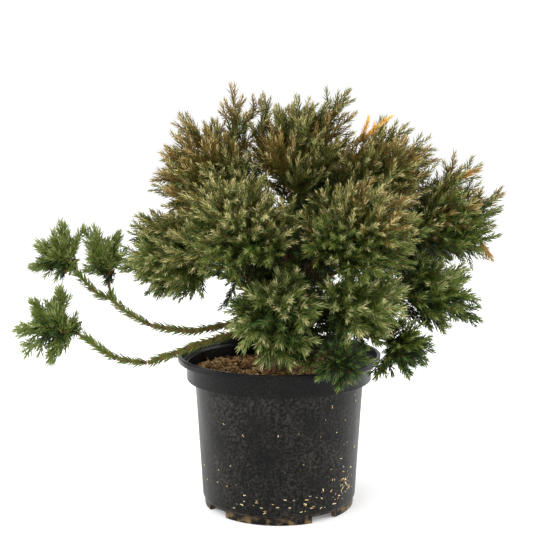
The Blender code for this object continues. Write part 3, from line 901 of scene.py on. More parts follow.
def foot_section():
    """Round the foot ring and in under the floor."""
    section = [(WALL_FOOT_RADIUS + FOOT_BEAD, WALL_FOOT_HEIGHT + FOOT_BEAD_RISE)]
    section += [(WALL_FOOT_RADIUS - FOOT_TUCK, WALL_FOOT_HEIGHT)]
    section += [(FOOT_RADIUS, WALL_FOOT_HEIGHT - FOOT_EASE)]
    section += arc((FOOT_RADIUS - FOOT_EDGE, FOOT_EDGE), FOOT_EDGE, 0, -90, 3)
    section += [(FOOT_RADIUS - FOOT_WIDTH, 0.0), (FOOT_RADIUS - FOOT_WIDTH, FLOOR_HEIGHT)]
    section += [(AXIS_GAP, FLOOR_HEIGHT)]
    return section


def pot_section():
    """The wall's closed section: over the floor, up inside, over the lip, down outside, in below."""
    floor_top = FLOOR_HEIGHT + WALL_THICKNESS
    section = [(AXIS_GAP, floor_top), (WALL_FOOT_RADIUS - WALL_THICKNESS - EDGE_RADIUS, floor_top)]
    section += [(WALL_TOP_RADIUS - WALL_THICKNESS, LEDGE_HEIGHT)]
    section += [(COLLAR_RADIUS - WALL_THICKNESS, LEDGE_HEIGHT + WALL_THICKNESS)]
    section += [(COLLAR_RADIUS - WALL_THICKNESS, COLLAR_TOP - LIP_SLOPE)]
    section += [(LIP_INNER_RADIUS - LIP_SLOPE, COLLAR_TOP)]
    return section + lip_section() + ledge_section() + foot_section()


def turned(name, section, steps, material):
    """A closed section turned about the pot's axis."""
    points, faces = [], []
    for i in range(steps):
        angle = 2 * math.pi * i / steps
        points += [(r * math.cos(angle), r * math.sin(angle), z) for r, z in section]
    count = len(section)
    for i in range(steps):
        faces += ring_quads(i * count, (i + 1) % steps * count, count)
    made = add_faces(name, points, faces, material)
    made.data.set_sharp_from_angle(angle=POT_SHARP_ANGLE)
    return made


def notch_cutter(angle):
    bpy.ops.mesh.primitive_cube_add(size=1.0)
    cutter = bpy.context.object
    cutter.scale = (NOTCH_REACH, NOTCH_WIDTH, 2 * NOTCH_HEIGHT)
    cutter.location = (FOOT_RADIUS * math.cos(angle), FOOT_RADIUS * math.sin(angle), 0.0)
    cutter.rotation_euler = (0.0, 0.0, angle)
    bpy.context.view_layer.update()
    bevel = cutter.modifiers.new("bevel", "BEVEL")
    bevel.width = NOTCH_BEVEL
    bevel.segments = 3
    return cutter


def make_pot(material):
    pot = turned("pot_shell", pot_section(), POT_STEPS, material)
    for number in range(NOTCH_COUNT):
        angle = -0.5 * math.pi + NOTCH_FIRST_ANGLE + 2 * math.pi * number / NOTCH_COUNT
        cutter = notch_cutter(angle)
        cut = pot.modifiers.new(f"notch_{number}", "BOOLEAN")
        cut.operation = "DIFFERENCE"
        cut.object = cutter
    settled = bpy.data.meshes.new_from_object(pot.evaluated_get(bpy.context.evaluated_depsgraph_get()))
    for cut in list(pot.modifiers):
        cutter = cut.object
        pot.modifiers.remove(cut)
        bpy.data.objects.remove(cutter)
    pot.data = settled
    finish_piece(pot, "pot", "pot")


# Growing mix


def soil_height(x, y):
    swell = noise.noise(Vector((x * SOIL_SWELL_RATE, y * SOIL_SWELL_RATE, SOIL_SWELL_SLICE)))
    grain = noise.noise(Vector((x * SOIL_GRAIN_RATE, y * SOIL_GRAIN_RATE, SOIL_GRAIN_SLICE)))
    return SOIL_LEVEL + SOIL_SWELL * swell + SOIL_GRAIN * grain - SOIL_SINK


def soil_circle(radius):
    """Places on a circle, without their heights."""
    angles = [2 * math.pi * k / SOIL_SPOKES for k in range(SOIL_SPOKES)]
    return [(radius * math.cos(angle), radius * math.sin(angle)) for angle in angles]


def make_soil_bed():
    """The mix as one body: an uneven top, then stepped sides and a bottom inside the pot."""
    points = [(0.0, 0.0, soil_height(0.0, 0.0))]
    for i in range(1, SOIL_RINGS + 1):
        points += [(x, y, soil_height(x, y)) for x, y in soil_circle(SOIL_RADIUS * i / SOIL_RINGS)]
    bottom = FLOOR_HEIGHT + WALL_THICKNESS + SOIL_FLOOR_GAP
    side = (
        (SOIL_RADIUS, LEDGE_HEIGHT + WALL_THICKNESS + SOIL_LEDGE_GAP),
        (WALL_TOP_RADIUS - WALL_THICKNESS - SOIL_WALL_GAP, LEDGE_HEIGHT - SOIL_WALL_DROP),
        (WALL_FOOT_RADIUS - WALL_THICKNESS - SOIL_FOOT_GAP, bottom),
    )
    for radius, level in side:
        points += [(x, y, level) for x, y in soil_circle(radius)]
    points.append((0.0, 0.0, bottom))
    centre, last_ring = len(points) - 1, len(points) - 1 - SOIL_SPOKES
    faces = []
    for ring in range(1, last_ring, SOIL_SPOKES):
        faces += ring_quads(ring, ring + SOIL_SPOKES, SOIL_SPOKES)
    for k in range(SOIL_SPOKES):
        n = (k + 1) % SOIL_SPOKES
        faces += [(0, 1 + k, 1 + n, 1 + n), (last_ring + k, centre, last_ring + n, last_ring + n)]
    bed = add_faces("soil_bed", points, faces, soil_bed())
    finish_piece(bed, "growing_mix", "growing_mix")


def tilted_axes(rng, count, tilt):
    """Random axes near level: each row set is a chip's length, width and thickness direction."""
    yaw = rng.uniform(0, 2 * math.pi, count)
    pitch = rng.normal(0, tilt, count)
    forward = np.stack([np.cos(yaw) * np.cos(pitch), np.sin(yaw) * np.cos(pitch), np.sin(pitch)], 1)
    side = np.stack([-np.sin(yaw), np.cos(yaw), rng.normal(0, tilt, count)], 1)
    side = unit_rows(side - forward * np.sum(side * forward, 1)[:, None])
    return np.stack([forward, side, np.cross(forward, side)], 1)


def dealt_woods(woods, count, rng):
    """The materials of these woods, and which one each of the slivers is made of."""
    made = [chip_wood(name, levels, pale) for name, (levels, pale, _) in woods.items()]
    return made, rng.choice(len(woods), count, p=[share for _, _, share in woods.values()])


def make_chips():
    """Loose chips on the mix, one of them a larger slab of bark at the front left."""
    rng = np.random.default_rng(CHIP_SEED)
    radius = (SOIL_RADIUS - CHIP_MARGIN) * np.sqrt(rng.uniform(0, 1, CHIP_COUNT))
    angle = rng.uniform(0, 2 * math.pi, CHIP_COUNT)
    length = CHIP_LEAST_LENGTH + CHIP_EXTRA_LENGTH * rng.beta(*CHIP_LENGTH_SHAPE, CHIP_COUNT)
    width = length * rng.uniform(*CHIP_WIDTHS, CHIP_COUNT)
    thick = width * rng.uniform(*CHIP_THICKNESSES, CHIP_COUNT)
    sizes = np.stack([length, width, thick], 1)
    centres = np.stack([radius * np.cos(angle), radius * np.sin(angle), radius], 1)
    for row in centres:
        row[2] = soil_height(row[0], row[1]) + rng.uniform(*CHIP_LIFTS)
    turns = tilted_axes(rng, CHIP_COUNT, CHIP_TILT)
    slab = 0
    centres[slab] = SLAB_PLACE
    sizes[slab] = SLAB_SIZE
    turns[slab] = np.eye(3)
    woods, kinds = dealt_woods(CHIP_WOODS, CHIP_COUNT, rng)
    kinds[slab] = len(woods)
    woods.append(chip_wood(*SLAB_WOOD))
    chips = slivers_mesh("soil_chips", centres, sizes, turns, woods, kinds, rng)
    finish_piece(chips, "growing_mix", "growing_mix")


def wall_radius(z):
    share = (z - WALL_FOOT_HEIGHT) / (LEDGE_HEIGHT - WALL_FOOT_HEIGHT)
    return WALL_FOOT_RADIUS + (WALL_TOP_RADIUS - WALL_FOOT_RADIUS) * share


def scattered(rng, count, angles, heights):
    return [(rng.uniform(*angles), rng.uniform(*heights)) for _ in range(count)]


def clumped(rng):
    """Places close together, low on the right."""
    places = []
    for _ in range(CLUMP_COUNT):
        angle = rng.normal(CLUMP_ANGLE, CLUMP_ANGLE_SPREAD)
        places.append((angle, abs(rng.normal(CLUMP_HEIGHT, CLUMP_HEIGHT_SPREAD)) + CLUMP_FOOT))
    return places


def make_flakes():
    """Straw flakes stuck to the wall: a band above the foot, a clump low on the right, and strays."""
    rng = np.random.default_rng(FLAKE_SEED)
    band = scattered(rng, *BAND_FLAKES)
    places = band + clumped(rng) + scattered(rng, *RIGHT_FLAKES) + scattered(rng, *STRAY_FLAKES)
    count = len(places)
    centres, turns = np.zeros((count, 3)), np.zeros((count, 3, 3))
    for i, (angle, z) in enumerate(places):
        outward = np.array([math.cos(angle), math.sin(angle), 0.0])
        centres[i] = outward * (wall_radius(z) + FLAKE_STAND_OFF) + UP * z
        level = np.cross(UP, outward)
        lean = rng.normal(0, BAND_LEAN) if i < len(band) else rng.uniform(0, math.pi)
        turns[i] = aimed(lean, level, UP), aimed(lean, UP, -level), outward
    length = rng.uniform(*FLAKE_LENGTHS, count)
    length[len(band) :] *= rng.uniform(*FLAKE_LENGTH_SHARES, count - len(band))
    width = length * rng.uniform(*FLAKE_WIDTHS, count)
    sizes = np.stack([length, width, np.full(count, FLAKE_THICKNESS)], 1)
    straws, kinds = dealt_woods(STRAWS, count, rng)
    flakes = slivers_mesh("straw_flakes", centres, sizes, turns, straws, kinds, rng)
    finish_piece(flakes, "growing_mix")


# Limbs


def node_points(name):
    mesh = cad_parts[name].data
    points = np.zeros(len(mesh.vertices) * 3)
    mesh.vertices.foreach_get("co", points)
    return points.reshape(-1, 3)


def centre_line(name, start):
    """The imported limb's ring centres and radii, in order from the end nearest to start."""
    points = np.unique(np.round(node_points(name), RING_DECIMALS), axis=0)
    near = points[np.argmin(np.linalg.norm(points - start, axis=1))]
    reach = np.linalg.norm(points - near, axis=1)
    order = np.argsort(reach)
    cuts = np.where(np.diff(reach[order]) > RING_GAP)[0] + 1
    rings = [ring for ring in np.split(points[order], cuts) if len(ring) > 3]
    centres = np.array([ring.mean(axis=0) for ring in rings])
    radii = np.array([np.linalg.norm(r - c, axis=1).mean() for r, c in zip(rings, centres)])
    return centres, radii


class Stem:
    """The stem's centre line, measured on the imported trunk: it leans to its top and bows a little."""

    def __init__(self):
        points = node_points("trunk")
        low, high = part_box("trunk")
        top = points[points[:, 2] > high.z - STEM_TOP_BAND]
        self.top = (top.max(axis=0) + top.min(axis=0)) / 2
        self.levels = np.linspace(points[:, 2].min(), points[:, 2].max(), STEM_RINGS)
        self.foot_radius = (high.x - low.x) * STEM_FOOT_SHARE

    def share_at(self, height):
        return np.clip((height - self.levels[0]) / (self.levels[-1] - self.levels[0]), 0, 1)

    def x_at(self, share):
        return self.top[0] * share - STEM_BOW * np.sin(math.pi * share)

    def line(self):
        """The centre line and radii, with a flare at the mix's level."""
        rise = self.share_at(self.levels)
        centres = np.stack([self.x_at(rise), self.top[1] * rise, self.levels], 1)
        centres[0, 2] -= STEM_SINK
        flare = self.foot_radius - STEM_TOP_RADIUS - STEM_TAPER
        radii = STEM_TOP_RADIUS + STEM_TAPER * (1 - rise) + flare * np.exp(-rise * STEM_FLARE_FALL)
        return centres, radii

    def origin_of(self, name):
        """About where a limb leaves the stem."""
        middle = node_points(name).mean(axis=0)
        height = np.clip(middle[2], SOIL_LEVEL, self.levels[-1])
        return np.array([self.top[0] * 0.5, self.top[1] * 0.5, height - STEM_HEIGHT_BELOW])

    def rooted(self, name, centres, radii):
        """The limb's line with one more point inside the stem."""
        height = centres[0][2]
        share = self.share_at(height)
        drop = TOP_ROOT_DROP if name == "bough_top" else ROOT_DROP
        inside = np.array([self.x_at(share), self.top[1] * share, height - drop])
        return np.vstack([inside, centres]), np.concatenate([[radii[0]], radii])


def limb_lines(stem):
    """Each limb's centres and radii on its way out, with the stem first."""
    lines = {"trunk": stem.line()}
    for name in sorted(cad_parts):
        if not (name.startswith("bough_") or name in ARM_LIMBS or name == ARM_FORK):
            continue
        if name == ARM_FORK:
            origin = ARM_FORK_FOOT
        elif name.endswith("_arm_outer"):
            origin = lines[name.replace("_outer", "_inner")][0][-1]
        else:
            origin = stem.origin_of(name)
        lines[name] = centre_line(name, origin)
    return lines


def make_limbs(material):
    """Bark-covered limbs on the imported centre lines. Returns each limb's end, last direction and line."""
    stem = Stem()
    ends = {}
    for number, (name, (centres, radii)) in enumerate(limb_lines(stem).items()):
        is_stem = name == "trunk"
        if not is_stem:
            radii = np.minimum(radii, LIMB_LARGEST_RADIUS)
        if name.startswith("bough_") or name.endswith("_arm_inner"):
            centres, radii = stem.rooted(name, centres, radii)
        look = STEM_BARK if is_stem else LIMB_BARK
        line = smooth_line(centres, look.step)
        spread = np.interp(np.linspace(0, 1, len(line)), np.linspace(0, 1, len(radii)), radii)
        points, faces = bark_tube(line, spread, look, number * BARK_SEED_STEP)
        piece = add_faces(name + ("_bark" if is_stem else "_limb"), points, faces, material)
        finish_piece(piece, "bark", name)
        ends[name] = (line[-1], unit(line[-1] - line[-4]), line)
    return ends


# Shoots


class Shoots:
    """Leafy shoots and bare twigs as quadratic curves, gathered here and built all at once."""

    def __init__(self):
        self.rows = []
        self.twigs = []

    def add(self, start, bend, end, side, tint, needle, density=1.0, lean=NEEDLE_LEAN, pointed=True):
        self.rows.append((start, bend, end, side, TINT_NAMES.index(tint), needle, density, lean, pointed))

    def twig(self, start, bend, end, first, last):
        self.twigs.append((start, bend, end, first, last))


def curve_at(rows, share):
    """Places and directions on quadratic curves."""
    start, bend, end = rows
    share = share[:, None]
    place = (1 - share) ** 2 * start + 2 * share * (1 - share) * bend + share**2 * end
    return place, unit_rows(2 * (1 - share) * (bend - start) + 2 * share * (end - bend))


def staged(where, limits, first):
    """Which of three stages each place is in, counted from first."""
    return np.where(where < limits[0], first, np.where(where < limits[1], first + 1, first + 2))


def eased(share, low):
    """From low to 1 as share goes from 0 to 1."""
    return low + (1 - low) * share


def leaf_out(shoots, rng):
    """Every needle of these shoots: points, faces and each face's colour."""
    start, bend, end, side, tint, needle, density, angle, pointed = columns(shoots.rows)
    length = np.linalg.norm(bend - start, axis=1) + np.linalg.norm(end - bend, axis=1)
    count = np.maximum(LEAST_NEEDLES, (length * NEEDLES_PER_METRE * density).astype(int))
    owner = np.repeat(np.arange(len(count)), count)
    number = np.arange(count.sum()) - np.repeat(np.cumsum(count) - count, count)
    fraction = (number + 0.5) / count[owner]
    share = fraction * LAST_NEEDLE
    place, along = curve_at((start[owner], bend[owner], end[owner]), share)

    across = unit_rows(side[owner] - along * np.sum(side[owner] * along, axis=1)[:, None])
    other = np.cross(along, across)
    spiral_start = rng.uniform(*SPIRAL_STARTS, len(count))[owner]
    turn = number * GOLDEN_ANGLE + spiral_start + rng.normal(0, SPIRAL_JITTER, len(owner))
    radial = np.cos(turn)[:, None] * across + np.sin(turn)[:, None] * other
    from_end = np.clip((length[owner] * (1 - share)) / POINTED_STRETCH, 0, 1)
    from_end = np.where(pointed[owner], from_end, 1.0)
    degrees = angle[owner] * eased(from_end, POINTED_LEAN_SHARE) + rng.normal(0, LEAN_JITTER, len(owner))
    lean = np.radians(degrees)
    forward = np.cos(lean)[:, None] * along + np.sin(lean)[:, None] * radial
    outside = np.cos(lean)[:, None] * radial - np.sin(lean)[:, None] * along
    flank = np.cross(along, radial)

    size = NEEDLE_LENGTH * needle[owner] * eased(from_end, POINTED_LENGTH_SHARE)
    size = size * rng.uniform(*LENGTH_SPREAD, len(owner))
    size *= eased(np.clip(fraction * FOOT_STRETCH_RATE, 0, 1), FOOT_LENGTH_SHARE)
    width = NEEDLE_WIDTH * eased(needle[owner], PLAIN_WIDTH_SHARE)
    foot = place + radial * (SHOOT_STEM_RADIUS * SHOOT_SEAT_SHARE)
    half = (0.5 * width)[:, None] * flank
    keel = foot + forward * (KEEL_PLACE * size)[:, None] + outside * (KEEL_HEIGHT * size)[:, None]
    point = foot + forward * size[:, None] - outside * (POINT_CURL * size)[:, None]
    points = np.stack([foot + half, foot - half, keel, point], axis=1).reshape(-1, 3)
    corners = np.array([(0, 1, 3), (0, 3, 2), (1, 2, 3), (0, 2, 1)])
    faces = (corners[None] + 4 * np.arange(len(owner))[:, None, None]).reshape(-1, 3)

    table = np.array([[COLOUR_NAMES.index(n) for n in outer + inner] for outer, inner in TINTS.values()])
    where = fraction + rng.normal(0, STAGE_JITTER, len(owner))
    outer = table[tint[owner], staged(where, OUTER_STAGES, first=0)]
    inner = table[tint[owner], staged(where, INNER_STAGES, first=3)]
    colours = np.stack([inner, outer, outer, outer], axis=1).reshape(-1)
    return points, faces, colours


def stems(rows, radii, sides, rings):
    """Slim tapering tubes along quadratic curves, each closed, all in one set of triangles."""
    count = len(rows[0])
    points = np.zeros((count, rings * sides, 3))
    for i, share in enumerate(np.linspace(0, 1, rings)):
        place, along = curve_at(rows, np.full(count, share))
        steep = np.abs(along[:, 2:3]) > STEEP
        helper = np.where(steep, np.array([[1.0, 0, 0]]), np.array([[0, 0, 1.0]]))
        across = unit_rows(np.cross(along, helper))
        other = np.cross(along, across)
        radius = (radii[:, 0] * (1 - share) + radii[:, 1] * share)[:, None]
        for k in range(sides):
            angle = 2 * math.pi * k / sides
            points[:, i * sides + k] = place + radius * aimed(angle, across, other)
    faces = []
    for i in range(rings - 1):
        for k in range(sides):
            n = (k + 1) % sides
            a, b, c, d = i * sides + k, i * sides + n, (i + 1) * sides + n, (i + 1) * sides + k
            faces += [(a, b, c), (a, c, d)]
    last = (rings - 1) * sides
    for k in range(1, sides - 1):
        faces += [(0, k + 1, k), (last, last + k, last + k + 1)]
    faces = np.array(faces)
    every = (faces[None] + rings * sides * np.arange(count)[:, None, None]).reshape(-1, 3)
    return points.reshape(-1, 3), every


def grow_spray(shoots, start, tip, outward, tint, needle, side_count, rng, flat, lift=0.0):
    """A leading shoot from start to tip, with shorter shoots spiralling up it."""
    reach = float(np.linalg.norm(tip - start))
    heading = unit(tip - start)
    plane_side = unit(np.cross(heading, outward) + rng.normal(0, SPRAY_SIDE_JITTER, 3))
    plane_up = np.cross(plane_side, heading)
    sag = rng.normal(0, SPRAY_SAG_JITTER) * plane_side - lift * SPRAY_LIFT_BOW * UP
    bend = start + (tip - start) * 0.5 + sag * reach
    shoots.add(start, bend, tip, plane_side, tint, needle)
    rows = (start[None], bend[None], tip[None])
    turn = rng.uniform(0, 2 * math.pi)
    for number in range(side_count):
        share = FIRST_SIDE_SHARE + SIDE_STRETCH * (number + rng.uniform(*SIDE_STEP_RANGE)) / side_count
        place, along = curve_at(rows, np.array([share]))
        place, along = place[0], along[0]
        turn += GOLDEN_ANGLE
        radial = unit(math.cos(turn) * plane_side + flat * math.sin(turn) * plane_up)
        lean = math.radians(rng.uniform(*SIDE_LEANS))
        length = reach * (SIDE_LOW_SHARE * (1 - share) + SIDE_END_SHARE) * rng.uniform(*SIDE_SPREAD)
        length = min(max(length, SIDE_SHORTEST), SIDE_LONGEST)
        leave = unit(aimed(lean, along, radial))
        arrive = unit(leave + SIDE_FORWARD * along + SIDE_LIFT * lift * UP)
        middle = place + leave * length * 0.5
        end = middle + arrive * length * 0.5
        shoots.add(place, middle, end, plane_up, tint, needle * SIDE_NEEDLE_SHARE)


def split_in_groups(points, count, rng):
    """Groups near points by a few rounds of k-means."""
    centres = points[rng.choice(len(points), count, replace=False)]
    for _ in range(GROUPING_ROUNDS):
        owner = np.argmin(np.linalg.norm(points[:, None] - centres[None], axis=2), axis=1)
        centres = np.array([
            points[owner == k].mean(axis=0) if np.any(owner == k) else centres[k] for k in range(count)
        ])
    return [np.where(owner == k)[0] for k in range(count) if np.any(owner == k)]


def twig_radius(count):
    """The radius of a twig that carries this many sprays."""
    return min(TWIG_LEAST_RADIUS + TWIG_GROWTH * count**TWIG_GROWTH_POWER, TWIG_LARGEST_RADIUS)


def grow_branches(shoots, start, aim, bases, rng):
    """Forks towards groups of spray bases until each base has a twig of its own."""
    if len(bases) == 1:
        reach = float(np.linalg.norm(bases[0] - start))
        if reach > TWIG_SHORTEST:
            bend = start + aim * reach * TWIG_BEND_SHARE
            shoots.twig(start, bend, bases[0], twig_radius(1), twig_radius(1) * TWIG_TAPER)
        return
    fork = start + (bases.mean(axis=0) - start) * 0.5
    bend = start + aim * float(np.linalg.norm(fork - start)) * FORK_BEND_SHARE
    shoots.twig(start, bend, fork, twig_radius(len(bases)), twig_radius(len(bases) * FORK_TAPER))
    groups = split_in_groups(bases, 2 if len(bases) < SMALL_FORK else 3, rng)
    if len(groups) == 1:
        groups = [groups[0][::2], groups[0][1::2]]
    heading = unit(fork - start + NUDGE)
    for group in groups:
        grow_branches(shoots, fork, heading, bases[group], rng)


# Foliage


def mass_data(name):
    """A packed mass: its middle, its outer peaks, its corners and its triangles."""
    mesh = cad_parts["foliage_" + name].data
    mesh.calc_loop_triangles()
    corners = node_points("foliage_" + name)
    keys, index = np.unique(np.round(corners, MASS_DECIMALS), axis=0, return_inverse=True)
    index = index.reshape(-1)
    triangles = index[np.array([t.vertices[:] for t in mesh.loop_triangles])]
    middle = (keys.max(axis=0) + keys.min(axis=0)) / 2
    reach = np.linalg.norm(keys - middle, axis=1)
    tallest = np.zeros(len(keys))
    for a, b in ((0, 1), (1, 2), (2, 0)):
        np.maximum.at(tallest, triangles[:, a], reach[triangles[:, b]])
        np.maximum.at(tallest, triangles[:, b], reach[triangles[:, a]])
    return middle, keys[reach > tallest], keys, triangles


def surface_points(keys, triangles, count, rng):
    """Points spread evenly at random over the triangles."""
    a, b, c = (keys[triangles[:, i]] for i in range(3))
    area = np.linalg.norm(np.cross(b - a, c - a), axis=1)
    chosen = rng.choice(len(triangles), count, p=area / area.sum())
    u, v = rng.uniform(0, 1, (2, count))
    flip = u + v > 1
    u, v = np.where(flip, 1 - u, u)[:, None], np.where(flip, 1 - v, v)[:, None]
    return a[chosen] + u * (b[chosen] - a[chosen]) + v * (c[chosen] - a[chosen])


def is_covered(place, outward, name, trees):
    """Whether another mass lies close outside this place."""
    start = Vector(place + outward * COVER_START)
    others = (tree for other, tree in trees.items() if other != name)
    return any(tree.ray_cast(start, Vector(outward), COVER_REACH)[0] is not None for tree in others)


def find_tips(masses):
    """Where each mass's sprays end: its peaks first, then points between, at least a spacing apart."""
    trees = {}
    for name, (_, _, keys, triangles) in masses.items():
        trees[name] = BVHTree.FromPolygons([Vector(k) for k in keys], triangles.tolist())
    taken = np.zeros((0, 3))
    tips = {name: [] for name in MASSES}
    for stage in ("peaks", "fill"):
        for number, name in enumerate(MASSES):
            rng = np.random.default_rng(TIP_SEED + number)
            middle, peaks, keys, triangles = masses[name]
            small = name in SMALL_MASSES
            spacing = TIP_SPACING * (SMALL_SPACING_SHARE if small else 1.0)
            if stage == "peaks":
                found, depth = peaks, np.ones(len(peaks))
            else:
                found = surface_points(keys, triangles, SMALL_FILL_TRIES if small else FILL_TRIES, rng)
                depth = rng.uniform(*FILL_DEPTHS, len(found))
            for place, keep in zip(found, depth):
                outward = unit(place - middle)
                if not small:
                    outward = unit(FROM_HEART * unit(place - CROWN_HEART) + FROM_MIDDLE * outward)
                place = middle + (place - middle) * keep
                covered = is_covered(place, outward, name, trees)
                if covered and rng.uniform() > COVERED_KEPT:
                    continue
                if len(taken) and np.min(np.linalg.norm(taken - place, axis=1)) < spacing:
                    continue
                taken = np.vstack([taken, place])
                tips[name].append((place, outward, covered))
    return tips


def sunny(place, outward):
    """How much sun and frost reach a shoot, which bronzes it: high on the crown and facing out."""
    facing = SUN_UP * outward[2] + SUN_SIDE * abs(outward[0]) - SUN_BACK * outward[1]
    return facing + (place[2] - SUN_HEIGHT) * SUN_PER_METRE


def spray_tint(sun, covered, sun_tint, shade_tint, rng):
    tint = sun_tint if sun > SUNNY else shade_tint
    olive_chance = OLIVE_CHANCE if sun < SUNNIEST else SUNNIEST_OLIVE_CHANCE
    if tint == "bronze" and rng.uniform() < olive_chance:
        tint = "olive"
    # Covered shoots and those with the least sun mostly take the dark inner tint: painted shade
    if covered or sun < SHADE_PAINTED_BELOW:
        tint = "inner" if rng.uniform() < PAINTED_SHADE_CHANCE else shade_tint
    return tint


def grow_mass(name, tips, middle, ends, materials):
    """A mass's sprays, the twigs that carry them, and the shoots that stand out from it."""
    sun_tint, shade_tint, needle, lift, side_count = MASSES[name]
    rng = np.random.default_rng(MASS_SEED + list(MASSES).index(name))
    shoots = Shoots()
    entry, aim, _ = ends[FAN_LIMBS.get(name, "bough_" + name)]
    bases = []
    for place, outward, covered in tips:
        reach = float(np.linalg.norm(place - entry))
        heading = HEADING_FROM_LIMB * unit(place - entry) + HEADING_OUTWARD * outward
        heading = unit(heading - HEADING_DROP * lift * UP)
        heading = unit(heading + rng.normal(0, HEADING_JITTER, 3))
        leafy = min(max(reach * LEAFY_SHARE, LEAFY_SHORTEST), LEAFY_LONGEST)
        start = place - heading * leafy
        sun = sunny(place, outward) + rng.normal(0, SUN_JITTER)
        tint = spray_tint(sun, covered, sun_tint, shade_tint, rng)
        jitter = rng.uniform(-SIDE_COUNT_JITTER, SIDE_COUNT_JITTER)
        count = max(1, int(round(side_count * leafy / SIDE_COUNT_LENGTH + jitter)))
        flat = ARM_FLATNESS if "arm" in name else MASS_FLATNESS
        grow_spray(shoots, start, place, outward, tint, needle, count, rng, flat, lift)
        bases.append(start)
    bases += add_long_shoots(name, shoots, middle, entry, needle, rng)
    grow_branches(shoots, entry, aim, np.array(bases), rng)
    add_accents(name, shoots, rng)
    slot = "foliage_bronze" if sun_tint in ("bronze", "olive") else "foliage_green"
    make_pieces(name, shoots, materials, rng, slot, "foliage_" + name)


def add_long_shoots(name, shoots, middle, entry, needle, rng):
    """Long sprays from inside a mass to its tips in LONG_SHOOTS. Returns where they start."""
    starts = []
    root = 0.5 * (middle + entry)
    for tint, column, row, y in LONG_SHOOTS.get(name, ()):
        tip = seen_at(column, row, y)
        reach = float(np.linalg.norm(tip - root))
        start = tip - unit(tip - root) * min(reach * LONG_SHOOT_SHARE, LONG_SHOOT_LONGEST)
        outward = unit(tip - CROWN_HEART)
        grow_spray(shoots, start, tip, outward, tint, needle, LONG_SHOOT_SIDES, rng, LONG_SHOOT_FLATNESS)
        starts.append(start)
    return starts


def add_accents(name, shoots, rng):
    for mass, tint, foot, tip, needle, lean in ACCENTS:
        if mass != name:
            continue
        foot, tip = np.array(foot), np.array(tip)
        reach = np.linalg.norm(tip - foot)
        bend = 0.5 * (foot + tip) + ACCENT_BEND_JITTER * reach * rng.normal(0, 1, 3)
        side = unit(np.cross(tip - foot, UP))
        shoots.add(foot, bend, tip, side, tint, needle, ACCENT_DENSITY, lean)
        back = foot - unit(tip - foot) * ACCENT_ROOT
        shoots.twig(back, 0.5 * (back + foot), foot, *ACCENT_RADII)


def make_needles(name, shoots, materials, rng, slot, *nodes):
    """One piece of needles, with only the colours that it uses."""
    points, faces, colours = leaf_out(shoots, rng)
    used = np.unique(colours)
    slots = np.zeros(len(COLOUR_NAMES), int)
    slots[used] = np.arange(len(used))
    needles = mesh_object(name, points, faces, [materials[i] for i in used], slots[colours])
    finish_piece(needles, slot, *nodes)


def make_pieces(name, shoots, materials, rng, slot, *nodes):
    """The needles and the twigs that were grown together, each kind joined in one piece."""
    make_needles("needles_" + name, shoots, materials, rng, slot, *nodes)
    curves = columns(shoots.rows)[:3]
    young = np.tile([[SHOOT_STEM_RADIUS, SHOOT_STEM_RADIUS * SHOOT_TIP_SHARE]], (len(shoots.rows), 1))
    stem_points, stem_faces = stems(curves, young, *SHOOT_TUBE)
    *curves, first, last = columns(shoots.twigs)
    twig_points, twig_faces = stems(curves, np.stack([first, last], 1), *TWIG_TUBE)
    points = np.vstack([stem_points, twig_points])
    faces = np.vstack([stem_faces, twig_faces + len(stem_points)])
    kinds = np.concatenate([np.zeros(len(stem_faces), int), np.ones(len(twig_faces), int)])
    wood = [materials[COLOUR_NAMES.index(colour_name)] for colour_name in WOOD_COLOURS]
    twigs = mesh_object("twigs_" + name, points, faces, wood, kinds, smooth=True)
    finish_piece(twigs, "bark", *nodes)


def grow_inner(ends, materials):
    """Short shaded sprays along the stem and the boughs, which close the heart of the crown."""
    rng = np.random.default_rng(INNER_SEED)
    shoots = Shoots()
    for name, (_, _, line) in ends.items():
        if "arm" in name:
            continue
        step = INNER_STEM_STEP if name == "trunk" else INNER_LIMB_STEP
        for i in range(INNER_FIRST_POINT, len(line) - 1, step):
            along = unit(line[i + 1] - line[i])
            for _ in range(INNER_SPRAYS_A_POINT):
                outward = unit(rng.normal(0, 1, 3) * INNER_FLATTENING)
                across = outward - INNER_ACROSS * along * np.dot(outward, along)
                heading = unit(across + INNER_FORWARD * along)
                tip = line[i] + heading * rng.uniform(*INNER_LENGTHS)
                if line[i][2] < INNER_LOWEST_FOOT or tip[2] < INNER_LOWEST_TIP:
                    continue
                # Most take the dark inner tint: painted shade in the heart of the crown
                tint = "inner" if rng.uniform() < INNER_PAINTED_SHADE_CHANCE else "green"
                grow_spray(shoots, line[i], tip, outward, tint, 1.0, INNER_SIDES, rng, INNER_FLATNESS)
                shoots.twig(line[i], 0.5 * (line[i] + tip), tip, *INNER_RADII)
    make_pieces("inner", shoots, materials, rng, "foliage_green")


def grow_arm_needles(ends, materials):
    """Needles all along the two long arms, greener and closer towards their ends."""
    rng = np.random.default_rng(ARM_SEED)
    shoots = Shoots()
    for name in ARM_LIMBS + (ARM_FORK,):
        line = ends[name][2]
        outer = name.endswith("outer") or name.endswith("fork")
        for i in range(0, len(line) - ARM_STEP, ARM_STEP):
            start, middle, end = line[i], line[i + ARM_STEP // 2], line[i + ARM_STEP]
            bend = 2 * middle - 0.5 * (start + end)
            share = i / len(line)
            density = ARM_END_DENSITY if outer and share > ARM_DENSE_FROM else ARM_DENSITY
            tint = "arm" if outer and share > ARM_GREEN_FROM else "old"
            side = unit(np.cross(end - start, UP))
            shoots.add(start, bend, end, side, tint, ARM_NEEDLE, density, pointed=False)
    make_needles("needles_on_arms", shoots, materials, rng, "foliage_green")


# Studio


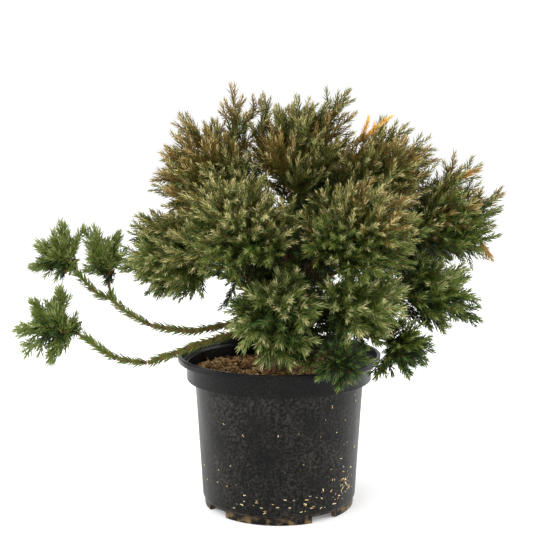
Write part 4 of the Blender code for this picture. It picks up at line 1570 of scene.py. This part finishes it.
def make_studio():
    """White surroundings, a pale floor that runs on past the view, and soft lamps."""
    world = bpy.data.worlds.new("studio")
    bpy.context.scene.world = world
    world.use_nodes = True
    background = world.node_tree.nodes["Background"]
    background.inputs["Color"].default_value = WHITE
    background.inputs["Strength"].default_value = WORLD_STRENGTH
    disc = {"vertices": FLOOR_SIDES, "radius": STUDIO_FLOOR_RADIUS, "fill_type": "NGON"}
    bpy.ops.mesh.primitive_circle_add(**disc)
    floor = bpy.context.object
    floor.name = "studio_floor"
    made = Surface("studio_floor", FLOOR_PLAIN, roughness=0.9, specular=0.1)
    grain = made.patches(scale=2.0, detail=4.0, low=0.3, high=0.7)
    made.paint(made.blend(grain, first=FLOOR_DARK, second=FLOOR_LIGHT))
    made.shader.inputs["Emission Color"].default_value = WHITE
    made.shader.inputs["Emission Strength"].default_value = STUDIO_FLOOR_GLOW
    floor.data.materials.append(made.material)
    for name, (place, target, size, power) in LAMPS.items():
        lamp(name, place, target, size, power)


def lamp(name, place, target, size, power):
    light = bpy.data.lights.new(name, "AREA")
    light.shape = "SQUARE"
    light.size = size
    light.energy = power
    made = placed(name, light)
    made.location = place
    made.rotation_euler = (Vector(target) - Vector(place)).to_track_quat("-Z", "Y").to_euler()


def make_camera():
    data = bpy.data.cameras.new("camera")
    data.sensor_width = SENSOR_WIDTH
    data.lens = CAMERA_LENS
    made = placed("camera", data)
    made.location = CAMERA_PLACE
    made.rotation_euler = (math.pi / 2 - CAMERA_DIP, 0.0, 0.0)
    bpy.context.scene.camera = made


make_camera()
make_studio()
make_pot(pot_plastic())
make_soil_bed()
make_chips()
make_flakes()
limb_ends = make_limbs(bark())
needle_materials = plain_materials()
mass_shapes = {name: mass_data(name) for name in MASSES}
spray_tips = find_tips(mass_shapes)
for mass_name, (mass_middle, *_) in mass_shapes.items():
    grow_mass(mass_name, spray_tips[mass_name], mass_middle, limb_ends, needle_materials)
grow_inner(limb_ends, needle_materials)
grow_arm_needles(limb_ends, needle_materials)
bpy.context.scene.view_settings.view_transform = "Standard"
